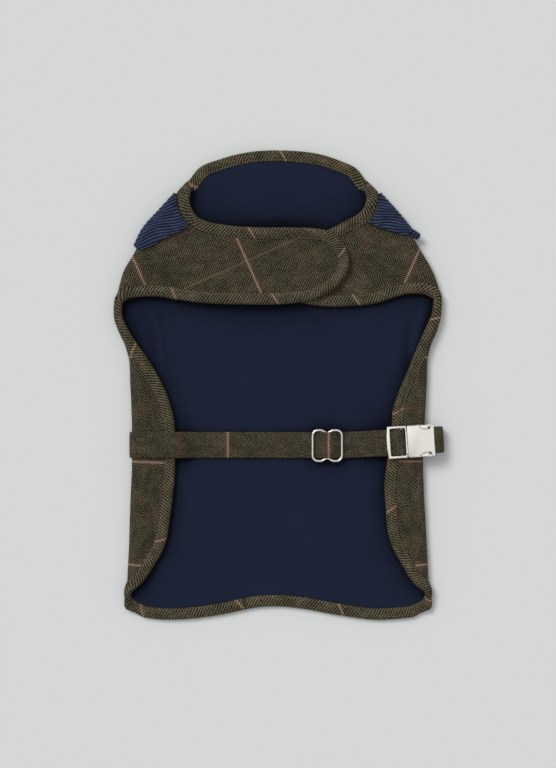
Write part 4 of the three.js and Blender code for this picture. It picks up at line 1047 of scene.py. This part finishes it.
def short_belt_path():
    """The short belt's middle: from under the right roll, up round the buckle's rear bar and tucked in"""
    loop = REAR_BAR[2] + BELT_GAP + BELT / 2
    top = REAR_BAR[1] + loop
    radius = (top - BELT / 2) / 2
    middle = (REAR_BAR[0], BELT / 2 + radius)
    start = [(SHORT_END, BELT / 2), (SHORT_END + SHORT_FLAT, BELT / 2)]
    outer = arc(middle, radius, *SHORT_TURN)
    inner = arc(middle, radius - BELT - BELT_GAP, *TUCKED_TURN)
    return [*start, *outer, *arc(REAR_BAR[:2], loop, *REAR_BAR_TURN), SHORT_BEND, *inner]


def belt_section():
    """The belt's outline across: soft folded edges, and a stitched line beside each edge"""
    half = BELT_WIDTH / 2
    side = [(half - inward, share * BELT / 2) for inward, share in BELT_EDGE]
    top = side[1:] + [(-a, z) for a, z in side[-2:0:-1]]
    return [side[0], *top, (-half, 0), *[(a, -z) for a, z in reversed(top)]]


def belt_mesh(path, start):
    """Points, faces and cut of a belt along a path of x and z, on the belt's line in plan"""
    path = np.array(path, float)
    far = lengths_along(path)
    fine = spline(path, far, np.linspace(0, far[-1], round(far[-1] / BELT_STEP) + 1))
    line = np.array(BELT_LINE, float)
    section = np.array(belt_section())
    ahead = unit(np.gradient(fine, axis=0))
    yaw = np.radians(np.interp(fine[:, 0], line[:, 0], line[:, 2]))
    way = np.stack([np.cos(yaw), np.sin(yaw), np.zeros(len(yaw))], axis=1)
    across = np.stack([-np.sin(yaw), np.cos(yaw), np.zeros(len(yaw))], axis=1)
    up = -way * ahead[:, 1:] + np.array((0, 0, 1)) * ahead[:, :1]
    middle = np.stack([fine[:, 0], np.interp(fine[:, 0], line[:, 0], line[:, 1]), fine[:, 1]], axis=1)
    rings = middle[:, None] + across[:, None] * section[None, :, :1] + up[:, None] * section[None, :, 1:]
    points, faces = sweep(rings)
    long = lengths_along(fine)
    flat = np.argmin(np.abs(fine[:, 0] - start) + FAR_OFF * (fine[:, 1] < UPPER_RUN))
    return points, facing_out(points, faces), grid_cut(section[:, 0], long - long[flat]), long[-1]


# The hook and loop tape
PATCH_X = (-5, 37)
PATCH_Y = (98.5, 122.5)
PATCH = 1
PATCH_GAP = 0.3
PATCH_GRID = (20, 12)


def patch_face(on_lower, above):
    """The upper face of a patch on the lower strap, or under the upper one"""
    across, down = PATCH_GRID
    points = []
    for j in range(down + 1):
        for i in range(across + 1):
            x, y = lerp(*PATCH_X, i / across), lerp(*PATCH_Y, j / down)
            z = top_height(x, y)
            if on_lower:
                z = top_height(x, y, z - TWEED)
            points.append((x, y, z + above))
    points = np.array(points)
    quads = grid_quads(down + 1, across + 1)[:, ::-1]
    return Face(points, vertex_normals(points, quads), quads, points[:, :2], None)


# The metal. The slide: its middle, its size, and the steps in a quarter of each of its curves.
SLIDE = (45.6, -57.6, 9.7)
SLIDE_WIDTH = 30.8
SLIDE_HEIGHT = 32.2
SLIDE_CORNER = 5.2
SLIDE_NOTCH = 2.6
NOTCH_SPAN = 2.4
QUARTER_STEPS = 6
WIRE = 1.4
WIRE_SIDES = 14


def slide_line():
    """The middle of the slide's wire in plan: two loops side by side, drawn in where they meet"""
    right, top = SLIDE_WIDTH / 2 - WIRE, SLIDE_HEIGHT / 2 - WIRE
    shares = [step / QUARTER_STEPS for step in range(QUARTER_STEPS + 1)]
    drops = [SLIDE_NOTCH * (1 - float(smooth(share))) for share in shares]
    dip = [(SLIDE_NOTCH * NOTCH_SPAN * share, top - drop) for share, drop in zip(shares, drops)]
    corner = arc((right - SLIDE_CORNER, top - SLIDE_CORNER), SLIDE_CORNER, 90, 0, QUARTER_STEPS)
    quarter = dip + corner
    half = quarter + [(x, -y) for x, y in reversed(quarter)]
    return half + [(-x, y) for x, y in reversed(half[1:-1])]


def wire_mesh(line, closed):
    """A round wire along a line in plan"""
    line = np.array([(x, y, 0) for x, y in line], float) + np.array(SLIDE)
    if closed:
        ahead = unit(np.roll(line, -1, axis=0) - np.roll(line, 1, axis=0))
    else:
        ahead = unit(np.gradient(line, axis=0))
    angles = [step * 2 * math.pi / WIRE_SIDES for step in range(WIRE_SIDES)]
    rings = []
    for place, out in zip(line, np.cross(ahead, (0, 0, 1))):
        rings.append([place + WIRE * (out * math.cos(a) + np.array((0, 0, math.sin(a)))) for a in angles])
    points, faces = sweep(rings, closed)
    return points, facing_out(points, faces)


# How the metal's edges are rounded, in millimetres and degrees
METAL_EASE = 0.35
EASE_STEPS = 2
SAME_POINT = 0.002
SAME_FACE = math.radians(1.5)
EASE_OVER = math.radians(25)
SHADE_SHARP = math.radians(18)


def eased(mesh):
    """A metal piece with its flat faces joined and its edges rounded"""
    shape = bmesh.new()
    shape.from_mesh(mesh)
    bmesh.ops.remove_doubles(shape, verts=shape.verts, dist=SAME_POINT * MM)
    bmesh.ops.dissolve_limit(shape, angle_limit=SAME_FACE, verts=shape.verts, edges=shape.edges)
    sharp = [edge for edge in shape.edges if edge.is_manifold and edge.calc_face_angle() > EASE_OVER]
    bmesh.ops.bevel(
        shape, geom=sharp, offset=METAL_EASE * MM, segments=EASE_STEPS, profile=0.5, affect="EDGES",
        clamp_overlap=True,
    )
    shape.to_mesh(mesh)
    shape.free()
    mesh.materials.clear()
    return mesh


# The buckle's place in plan and its turn. In its own plan: the gap beside a prong, two grooves across
# the socket half and the cover over the bar at its tail. From and to: heights.
BUCKLE = (125, -53.5, math.radians(3.6))
HOOK = (
    (6.2, 16.6), (6.6, 15.2), (8.8, 12.8), (11.2, 11.2), (13.7, 10.4), (16.6, 10.2), (19, 11.4),
    (19.9, 13.4), (19.6, 16.6), (17.2, 16.6), (16.6, 13.6), (15, 11.8), (12.2, 12.1), (9.8, 13.5),
    (8, 15.3), (7.6, 16.6),
)
HOOK_FROM = 15.4
RIDGES = (-2.4, -0.9)
RIDGE_HALF = 0.35
RIDGE_DEPTH = 0.3
COVER = ((15.6, -15.1), (20.4, -14.9), (22.4, -13.6), (22.1, 0), (22.4, 13.6), (20.4, 14.9), (15.6, 15.1))
COVER_FROM = 20.2
COVER_TO = 20.9
SOCKET_TOP = 20.6
METAL_TOP = 24


def prism(outline, low, high):
    """A straight-sided solid over an outline in the buckle's own plan"""
    x, y, yaw = BUCKLE
    if sum(a[0] * b[1] - b[0] * a[1] for a, b in zip(outline, outline[1:] + outline[:1])) < 0:
        outline = outline[::-1]
    turn = np.array(((math.cos(yaw), math.sin(yaw)), (-math.sin(yaw), math.cos(yaw))))
    plan = np.array(outline, float) @ turn + (x, y)
    points = [(*place, z) for z in (low, high) for place in plan]
    count = len(outline)
    sides = [(i, (i + 1) % count, (i + 1) % count + count, i + count) for i in range(count)]
    ends = (tuple(range(count))[::-1], tuple(range(count, 2 * count)))
    mesh = bpy.data.meshes.new("prism")
    mesh.from_pydata((np.array(points) * MM).tolist(), [], [ends[0], *sides, ends[1]])
    return mesh


def shaped(mesh, tool, operation):
    """A mesh joined with or cut by another one"""
    made, other = (placed("shaped", each) for each in (mesh, tool))
    step = made.modifiers.new("shaped", "BOOLEAN")
    step.object, step.operation, step.solver = other, operation, "EXACT"
    bpy.context.view_layer.update()
    depsgraph = bpy.context.evaluated_depsgraph_get()
    result = bpy.data.meshes.new_from_object(made.evaluated_get(depsgraph))
    for each in (made, other):
        bpy.data.objects.remove(each)
    return result


def socket_mesh():
    """The socket half, with hooked gaps beside the prongs and a cover over the bar at its tail"""
    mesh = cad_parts["buckle_socket"].data.copy()
    mesh = shaped(mesh, prism(list(COVER), COVER_FROM, COVER_TO), "UNION")
    for hand in (-1, 1):
        hook = [(x, y * hand) for x, y in HOOK]
        mesh = shaped(mesh, prism(hook, HOOK_FROM, METAL_TOP), "DIFFERENCE")
    reach = COVER[-1][1]
    for x in RIDGES:
        low, high = x - RIDGE_HALF, x + RIDGE_HALF
        groove = [(low, -reach), (high, -reach), (high, reach), (low, reach)]
        mesh = shaped(mesh, prism(groove, SOCKET_TOP - RIDGE_DEPTH, METAL_TOP), "DIFFERENCE")
    return mesh


# Materials. A line's edge is soft from the first to the second of these shares of its half width.
LINE_SOFT = 1.5
LINE_FULL = 0.6


class Recipe:
    """A material, with short ways to add its nodes"""

    def __init__(self, name):
        self.material = bpy.data.materials.new(name)
        self.material.use_nodes = True
        self.tree = self.material.node_tree
        self.surface = self.tree.nodes["Principled BSDF"]

    def node(self, kind, inputs=(), **settings):
        """A new node with some inputs, each a constant or another node's output"""
        made = self.tree.nodes.new(kind)
        for name, value in settings.items():
            setattr(made, name, value)
        for name, value in dict(inputs).items():
            self.put(made.inputs[name], value)
        return made

    def put(self, socket, value):
        if isinstance(value, bpy.types.NodeSocket):
            self.tree.links.new(value, socket)
        else:
            socket.default_value = value

    def maths(self, operation, *values):
        """The output of a math node on some values"""
        made = self.node("ShaderNodeMath", operation=operation)
        for socket, value in zip(made.inputs, values):
            self.put(socket, value)
        return made.outputs[0]

    def varied(self, value, noise, strength):
        """A value, more where the noise is over a half and less where it is under it"""
        return self.maths("MULTIPLY_ADD", self.maths("SUBTRACT", noise, 0.5), strength, value)

    def clamped(self, value):
        return self.node("ShaderNodeClamp", {"Value": value}).outputs[0]

    def mix(self, share, first, second):
        """A colour a share of the way from the first one to the second"""
        made = self.node("ShaderNodeMix", data_type="RGBA")
        for socket, value in zip((made.inputs[0], made.inputs[6], made.inputs[7]), (share, first, second)):
            self.put(socket, value)
        return made.outputs[2]

    def cut(self):
        """The place in the cut in millimetres: across the cloth and along it"""
        place = self.node("ShaderNodeUVMap", uv_map=CUT).outputs[0]
        parts = self.node("ShaderNodeSeparateXYZ", {"Vector": place})
        return [self.maths("MULTIPLY", parts.outputs[i], 1 / MM) for i in (0, 1)]

    def noise(self, u, v, size, detail=2, stretch=1):
        """Noise over the cut, with spots of about a size in millimetres"""
        across = self.maths("MULTIPLY", u, 1 / size)
        down = self.maths("MULTIPLY", v, 1 / (size * stretch))
        place = self.node("ShaderNodeCombineXYZ", {"X": across, "Y": down})
        made = self.node("ShaderNodeTexNoise", {"Vector": place.outputs[0], "Scale": 1, "Detail": detail})
        return made.outputs[0]

    def lines(self, value, first, spacing, half):
        """1 on lines of a half width, spaced evenly from the first one"""
        away = self.maths("PINGPONG", self.maths("SUBTRACT", value, first), spacing / 2)
        made = self.node("ShaderNodeMapRange", interpolation_type="SMOOTHSTEP")
        ends = {"Value": away, "From Min": half * LINE_SOFT, "From Max": half * LINE_FULL}
        for name, value in ends.items():
            self.put(made.inputs[name], value)
        return made.outputs[0]

    def bump(self, height, distance):
        made = self.node("ShaderNodeBump", {"Height": height, "Distance": distance * MM})
        self.put(self.surface.inputs["Normal"], made.outputs[0])

    def finish(self, colour, roughness, specular=0.2, sheen=0, sheen_tint=(1, 1, 1, 1), metallic=0):
        """The material, with what its surface looks like"""
        for name, value in {
            "Base Color": colour,
            "Roughness": roughness,
            "Specular IOR Level": specular,
            "Sheen Weight": sheen,
            "Sheen Tint": sheen_tint,
            "Metallic": metallic,
        }.items():
            self.put(self.surface.inputs[name], value)
        return self.material


# The tweed's unevenness: the size of its spots in millimetres, and how much they change the share of
# light yarn in the weave, or the tone of that yarn between brown and green
FLECK = 1.1
FLECK_SHARE = 3.4
SLUB = 7
SLUB_SHARE = 0.9
SLUB_STRETCH = 2
NEAR_TONE = 2.3
NEAR_TONE_SHARE = 2.2
WIDE_TONE = 26
WIDE_TONE_SHARE = 2.4
GREEN_SHARES = (0.6, 0.72, 0.6)
TWEED_HAIR = 0.5
TWEED_HAIR_SHARE = 0.7
TWEED_BUMP = 0.45
TWEED_SHEEN = (0.9, 0.82, 0.66, 1)


def twill(recipe, u, v, columns, hand=1):
    """The woven pattern, from 0 in the dark yarn to 1 in the light one, with or without columns"""
    looks = coat_looks()
    across = recipe.maths("PINGPONG", u, looks.herringbone_width) if columns else u
    along = recipe.maths("MULTIPLY_ADD", across, hand, v)
    stripe = recipe.maths("SINE", recipe.maths("MULTIPLY", along, 2 * math.pi / looks.twill_pitch))
    return recipe.maths("POWER", recipe.maths("MULTIPLY_ADD", stripe, 0.5, 0.5), 2)


def yarns(recipe, u, v, weave, light):
    """The tweed's colour before its checks: a dark ground with light yarn, broken and uneven in tone"""
    looks = coat_looks()
    share = recipe.varied(weave, recipe.noise(u, v, FLECK), FLECK_SHARE)
    share = recipe.varied(share, recipe.noise(u, v, SLUB, stretch=SLUB_STRETCH), SLUB_SHARE)
    tone = recipe.varied(0.5, recipe.noise(u, v, NEAR_TONE), NEAR_TONE_SHARE)
    tone = recipe.varied(tone, recipe.noise(u, v, WIDE_TONE), WIDE_TONE_SHARE)
    warm = tuple(part * light for part in looks.light_yarn)
    green = tuple(part * kept for part, kept in zip(warm, GREEN_SHARES))
    yarn = recipe.mix(recipe.clamped(tone), (*green, 1), (*warm, 1))
    return recipe.mix(recipe.clamped(share), (*looks.dark_yarn, 1), yarn)


# The checks: colours, the distance from one tan line to the next and where the first one is, both along
# the cloth and across it, half widths of a line and of its faint band, and how strongly they show
TAN = (0.5, 0.345, 0.25, 1)
RUST = (0.15, 0.06, 0.035, 1)
CHECK = 98
CHECK_ACROSS = 96
CHECK_FROM = -72.7
CHECK_ACROSS_FROM = -188
CHECK_HALF = 0.95
CHECK_BAND = 4
RUST_LIGHT = (0.19, 0.095, 0.06, 1)
RUST_PART = 0.75
BAND_SHOWN = 0.5
LINE_ON_LIGHT = 0.65
LINE_ON_DARK = 0.2
CHECK_ACROSS_STRENGTH = 0.24


def checked(recipe, colour, weave, value, first, spacing, strength=1):
    """Tan lines with rust ones halfway, woven into the tweed, each tan one in a faint rust band"""
    beside = recipe.maths("MULTIPLY", recipe.lines(value, first, spacing, CHECK_BAND), weave)
    colour = recipe.mix(recipe.maths("MULTIPLY", beside, BAND_SHOWN * strength), colour, RUST_LIGHT)
    for tint, start, part in ((TAN, first, strength), (RUST, first + spacing / 2, RUST_PART * strength)):
        shown = recipe.maths("MULTIPLY_ADD", weave, LINE_ON_LIGHT * part, LINE_ON_DARK * part)
        line = recipe.lines(value, start, spacing, CHECK_HALF)
        colour = recipe.mix(recipe.maths("MULTIPLY", line, shown), colour, tint)
    return colour


def tweed_cloth(
    name, columns=True, across=True, first=CHECK_FROM, spacing=CHECK, slant=0, light=1, hand=1
):
    """Wool tweed, with its checks where the piece has them"""
    recipe = Recipe(name)
    u, v = recipe.cut()
    weave = twill(recipe, u, v, columns, hand)
    colour = yarns(recipe, u, v, weave, light)
    along = recipe.maths("MULTIPLY_ADD", u, slant, v) if slant else v
    colour = checked(recipe, colour, weave, along, first, spacing)
    if across:
        colour = checked(recipe, colour, weave, u, CHECK_ACROSS_FROM, CHECK_ACROSS, CHECK_ACROSS_STRENGTH)
    hair = recipe.noise(u, v, TWEED_HAIR, detail=3)
    recipe.bump(recipe.maths("MULTIPLY_ADD", hair, TWEED_HAIR_SHARE, weave), TWEED_BUMP)
    return recipe.finish(colour, 0.95, specular=0.15, sheen=0.06, sheen_tint=TWEED_SHEEN)


# The lining: its nap and wider clouds, and the painted shade that darkens it where it lies deep in a fold
# or beside a raised edge
NAP = 1.1
NAP_STRETCH = 1.6
CLOUD = 34
LINING_DARK = 0.72
LINING_LIGHT = 1.28
NAP_BUMP = 0.35
# Painted shade: how far the occlusion looks, how steeply it darkens, and the near-black navy it darkens to
PAINTED_SHADE_REACH = 45
PAINTED_SHADE_POWER = 3.2
PAINTED_FOLD_SHADE = (0.0025, 0.0035, 0.007, 1)
NAVY_SHEEN = (0.45, 0.55, 0.85, 1)


def lining_cloth():
    """Brushed navy lining: a short soft nap, a little uneven, darkened by painted shade in folds and beside
    raised edges
    """
    looks = coat_looks()
    recipe = Recipe("brushed navy lining")
    u, v = recipe.cut()
    nap = recipe.noise(u, v, NAP, detail=4, stretch=NAP_STRETCH)
    cloud = recipe.noise(u, v, CLOUD, detail=3)
    shade = recipe.maths("MULTIPLY_ADD", cloud, 0.5, recipe.maths("MULTIPLY", nap, 0.5))
    tones = (LINING_DARK, LINING_LIGHT)
    dark, light = ((*(part * tone for part in looks.lining_colour), 1) for tone in tones)
    colour = recipe.mix(shade, dark, light)
    # Painted shade: an ambient occlusion node darkens the lining's colour towards near-black navy beside
    # raised edges and deep in folds
    occluded = recipe.node("ShaderNodeAmbientOcclusion", {"Distance": PAINTED_SHADE_REACH * MM}, samples=8)
    unshaded = recipe.maths("POWER", occluded.outputs["AO"], PAINTED_SHADE_POWER)
    colour = recipe.mix(unshaded, PAINTED_FOLD_SHADE, colour)
    recipe.bump(nap, NAP_BUMP)
    return recipe.finish(colour, 1, specular=0.1, sheen=0.05, sheen_tint=NAVY_SHEEN)


# The corduroy: its pile and wider wear, and the painted shade between the wales and painted highlight on
# their crests
PILE = 0.9
PILE_STRETCH = 2.5
PILE_SHARE = 1.3
PILE_BUMP = 0.4
WEAR = 6
WEAR_STRETCH = 2
WEAR_SHARE = 1.2
CREST_RISE = 3
CREST_FROM = -0.35
# Painted shade between the wales and painted highlight on their crests
SHADE_BETWEEN_WALES = (0.004, 0.0065, 0.0155, 1)
HIGHLIGHT_ON_CREST = (0.05, 0.065, 0.128, 1)
CORDUROY_SHEEN = (0.5, 0.6, 0.9, 1)


def corduroy_cloth():
    """Navy corduroy, with painted shade between the wales and a painted highlight on the crest of each wale
    """
    recipe = Recipe("navy corduroy")
    u, v = recipe.cut()
    away = recipe.maths("PINGPONG", u, WALE / 2)
    crest = recipe.maths("MULTIPLY_ADD", away, CREST_RISE / WALE, CREST_FROM)
    pile = recipe.noise(u, v, PILE, detail=3, stretch=PILE_STRETCH)
    wear = recipe.noise(u, v, WEAR, stretch=WEAR_STRETCH)
    share = recipe.varied(recipe.varied(crest, pile, PILE_SHARE), wear, WEAR_SHARE)
    # Mixes from the painted shade between the wales to the painted highlight on the crests, over the
    # collar's raised wales
    colour = recipe.mix(recipe.clamped(share), SHADE_BETWEEN_WALES, HIGHLIGHT_ON_CREST)
    recipe.bump(pile, PILE_BUMP)
    return recipe.finish(colour, 0.95, specular=0.15, sheen=0.12, sheen_tint=CORDUROY_SHEEN)


THREAD = (0.16, 0.135, 0.095, 1)
TAPE_BLACK = (0.008, 0.008, 0.01, 1)
TAPE_HOOKS = 0.7
TAPE_BUMP = 0.6
NICKEL = (0.71, 0.68, 0.64, 1)
BRIGHT_ROUGHNESS = 0.16
SATIN_ROUGHNESS = 0.42


def thread():
    return Recipe("tan sewing thread").finish(THREAD, 0.7)


def fastening_tape():
    """Black hook and loop tape with a rough pile"""
    recipe = Recipe("hook and loop tape")
    u, v = recipe.cut()
    recipe.bump(recipe.noise(u, v, TAPE_HOOKS), TAPE_BUMP)
    return recipe.finish(TAPE_BLACK, 0.9)


def nickel(name, roughness):
    return Recipe(name).finish(NICKEL, roughness, specular=0.5, metallic=1)


# The coat's pieces as operators
class CoatLooks(bpy.types.PropertyGroup):
    """What can be set on the coat's cloth and trim"""

    twill_pitch: FloatProperty(
        name="Twill pitch", description="From one twill line to the next, in millimetres of cloth",
        default=2.8, min=0.5,
    )
    herringbone_width: FloatProperty(
        name="Herringbone width", description="The width of one column of the herringbone, in millimetres",
        default=12.5, min=2,
    )
    dark_yarn: FloatVectorProperty(
        name="Dark yarn", description="The tweed's darker yarn",
        default=(0.0045, 0.0052, 0.0035), subtype="COLOR", min=0, max=1,
    )
    light_yarn: FloatVectorProperty(
        name="Light yarn", description="The tweed's lighter yarn",
        default=(0.178, 0.138, 0.089), subtype="COLOR", min=0, max=1,
    )
    lining_colour: FloatVectorProperty(
        name="Lining", description="The brushed lining's colour",
        default=(0.0122, 0.0172, 0.0395), subtype="COLOR", min=0, max=1,
    )
    wale_height: FloatProperty(
        name="Wale height", description="The height of the corduroy's wales, in millimetres",
        default=0.6, min=0, max=1,
    )
    stitch_length: FloatProperty(
        name="Stitch length", description="The length of a stitch on the binding, in millimetres",
        default=1.9, min=0.5, max=2.8,
    )


def coat_looks():
    """The coat's settings in this scene"""
    return bpy.context.scene.coat_looks


class COAT_OT_panel(bpy.types.Operator):
    """Make the tweed shell and its lining, folded at the shoulders and sides as they lie"""

    bl_idname = "coat.panel"
    bl_label = "Shell and lining"

    def execute(self, context):
        face = panel()
        flat, area = cut_sizes(face)
        layers = (
            ("tweed_shell", 0, TWEED, "shell", "tweed", tweed_cloth("herringbone tweed")),
            ("navy_lining_cloth", TWEED + SEAM, PANEL, "lining", "navy_lining", lining_cloth()),
        )
        for name, outer, inner, node, slot, material in layers:
            made = add_piece(name, *wall(face, outer, inner), material, slot, [node])
        return {"FINISHED"}


BINDING_PARTS = ("corner", "side", "armhole", "strap", "shoulder")
BINDINGS = [f"binding_{part}_{side}" for part in BINDING_PARTS for side in ("left", "right")]

# The tape's own twill: how much its checks slant, how much brighter its light yarn is, as painted light for
# the tape's raised, rounded top, and how steep its twill lines are
TAPE_SLANT = 0.6
TAPE_PAINTED_LIGHT = 1.3
TAPE_TWILL = -0.6


class COAT_OT_binding(bpy.types.Operator):
    """Make the tweed tape round the coat's whole edge, and the stitches that hold it"""

    bl_idname = "coat.binding"
    bl_label = "Binding"

    def execute(self, context):
        # The tape's light yarn is brightened as painted light for its raised, rounded top
        material = tweed_cloth(
            "tweed binding", columns=False, across=False, first=0, spacing=CHECK_SPACING, slant=TAPE_SLANT,
            light=TAPE_PAINTED_LIGHT, hand=TAPE_TWILL,
        )
        nodes = ["binding_hem", "binding_neck", *BINDINGS]
        tape = add_piece("tweed_binding", *binding_mesh(), material, "tweed_tape", nodes)
        stitched = stitch_mesh(coat_looks().stitch_length)
        stitches = add_piece("binding_stitches", *stitched, thread(), "tweed_tape")
        flat = ((2 * (TAPE_LIP + TAPE_REACH) + PANEL) * MM, rim().far[-1] * MM)
        return {"FINISHED"}


class COAT_OT_collar(bpy.types.Operator):
    """Make the corduroy collar with its wales, under the back and round both shoulders"""

    bl_idname = "coat.collar"
    bl_label = "Collar"

    def execute(self, context):
        face, flat, area = collar_face()
        shape = joined(wall(face, 0, CORDUROY), collar_curl())
        made = add_piece("corduroy_collar", *shape, corduroy_cloth(), "corduroy", ["collar"])
        return {"FINISHED"}


class COAT_OT_belt(bpy.types.Operator):
    """Make both parts of the belly belt, through the slide and round the buckle's bars"""

    bl_idname = "coat.belt"
    bl_label = "Belt"

    def execute(self, context):
        material = tweed_cloth("belt tweed", across=False, first=0)
        parts = (
            ("long_belt", long_belt_path(), "belt_long"),
            ("short_belt", short_belt_path(), "belt_short"),
        )
        for name, path, node in parts:
            points, faces, cut, long = belt_mesh(path, CHECKS_AT[name])
            made = add_piece(name, points, faces, cut, material, "belt_tweed", [node])
        return {"FINISHED"}


class COAT_OT_fastening(bpy.types.Operator):
    """Make the hook and loop tape between the chest straps"""

    bl_idname = "coat.fastening"
    bl_label = "Hook and loop tape"

    def execute(self, context):
        material = fastening_tape()
        parts = (
            ("loop_tape", True, PATCH_GAP + PATCH, "fastening_loop"),
            ("hook_tape", False, -PANEL - PATCH_GAP, "fastening_hook"),
        )
        for name, on_lower, above, node in parts:
            patch = wall(patch_face(on_lower, above), 0, PATCH)
            made = add_piece(name, *patch, material, "fastening", [node])
        return {"FINISHED"}


class COAT_OT_metal(bpy.types.Operator):
    """Make the wire slide and both halves of the release buckle"""

    bl_idname = "coat.metal"
    bl_label = "Slide and buckle"

    def execute(self, context):
        loops, loop_faces = wire_mesh(slide_line(), True)
        notch = SLIDE_HEIGHT / 2 - SLIDE_NOTCH - WIRE
        bar, bar_faces = wire_mesh([(0, lerp(-notch, notch, step / 4)) for step in range(5)], False)
        points, faces, cut = joined((loops, loop_faces, loops[:, :2]), (bar, bar_faces, bar[:, :2]))
        wire = nickel("bright nickel", BRIGHT_ROUGHNESS)
        add_piece("wire_slide", points, faces, cut, wire, "nickel_wire", ["slide"])
        satin = nickel("satin nickel", SATIN_ROUGHNESS)
        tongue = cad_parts["buckle_tongue"].data.copy()
        for node, mesh in (("buckle_tongue", tongue), ("buckle_socket", socket_mesh())):
            mesh = eased(mesh)
            mesh.materials.append(satin)
            mesh.shade_smooth()
            mesh.set_sharp_from_angle(angle=SHADE_SHARP)
            mesh.name = f"{node}_half"
            made = placed(mesh.name, mesh)
            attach(made, "root")
            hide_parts(node)
        return {"FINISHED"}


# The stage, in metres. The camera looks straight down and its frame shows VIEW_LENGTH from end to end.
CAMERA_HEIGHT = 2.2
VIEW_LENGTH = 0.737
VIEW_CENTRE = (-0.0014, 0.0012)
SENSOR = 36
FLOOR = (0.736, 0.755, 0.745, 1)
FLOOR_HALF = 4
FLOOR_DROP = 0.0002
SKY = 0.4
SUN = 1.6
SUN_ANGLE = math.radians(26)
SUN_FROM = (-0.55, 0.6, 1)
SOFT_BOX = 1.6
SOFT_BOX_GLOW = 1
SOFT_BOX_ABOVE = 0.3


class COAT_OT_stage(bpy.types.Operator):
    """Make the floor, the light and the camera"""

    bl_idname = "coat.stage"
    bl_label = "Stage"

    def execute(self, context):
        scene = context.scene
        mesh = bpy.data.meshes.new("floor")
        corners = [(x * FLOOR_HALF, y * FLOOR_HALF, 0) for x, y in ((-1, -1), (1, -1), (1, 1), (-1, 1))]
        mesh.from_pydata(corners, [], [(0, 1, 2, 3)])
        mesh.materials.append(Recipe("plain backdrop").finish(FLOOR, 1, specular=0))
        floor = placed("floor", mesh)
        floor.location.z = -FLOOR_DROP
        world = bpy.data.worlds.new("soft light")
        world.use_nodes = True
        world.node_tree.nodes["Background"].inputs["Color"].default_value = (1, 1, 1, 1)
        world.node_tree.nodes["Background"].inputs["Strength"].default_value = SKY
        scene.world = world
        light = bpy.data.lights.new("window", "SUN")
        light.energy = SUN
        light.angle = SUN_ANGLE
        window = placed("window", light)
        window.rotation_euler = Vector(SUN_FROM).to_track_quat("Z", "Y").to_euler()
        panel_light = bpy.data.lights.new("soft box", "AREA")
        panel_light.size = SOFT_BOX
        panel_light.energy = math.pi * SOFT_BOX**2 * SOFT_BOX_GLOW
        soft_box = placed("soft box", panel_light)
        soft_box.location.z = CAMERA_HEIGHT + SOFT_BOX_ABOVE
        lens = bpy.data.cameras.new("camera")
        lens.sensor_fit = "AUTO"
        lens.sensor_width = SENSOR
        lens.lens = SENSOR * CAMERA_HEIGHT / VIEW_LENGTH
        camera = placed("camera", lens)
        camera.location = (*VIEW_CENTRE, CAMERA_HEIGHT)
        scene.camera = camera
        scene.view_settings.view_transform = "Standard"
        return {"FINISHED"}


class COAT_PT_sidebar(bpy.types.Panel):
    """The coat's settings and pieces"""

    bl_label = "Dog winter coat"
    bl_space_type = "VIEW_3D"
    bl_region_type = "UI"
    bl_category = "Coat"

    def draw(self, context):
        for name in CoatLooks.__annotations__:
            self.layout.prop(context.scene.coat_looks, name)
        for operator in STEPS:
            self.layout.operator(operator.bl_idname)


STEPS = (
    COAT_OT_panel,
    COAT_OT_binding,
    COAT_OT_collar,
    COAT_OT_belt,
    COAT_OT_fastening,
    COAT_OT_metal,
    COAT_OT_stage,
)


KINDS = (CoatLooks, *STEPS, COAT_PT_sidebar)


def register():
    for kind in KINDS:
        bpy.utils.register_class(kind)
    bpy.types.Scene.coat_looks = PointerProperty(type=CoatLooks)


def unregister():
    del bpy.types.Scene.coat_looks
    for kind in reversed(KINDS):
        bpy.utils.unregister_class(kind)


def main():
    """Make all the pieces in order"""
    register()
    bpy.ops.coat.panel()
    bpy.ops.coat.binding()
    bpy.ops.coat.collar()
    bpy.ops.coat.belt()
    bpy.ops.coat.fastening()
    bpy.ops.coat.metal()
    bpy.ops.coat.stage()


if __name__ == "__main__":
    main()
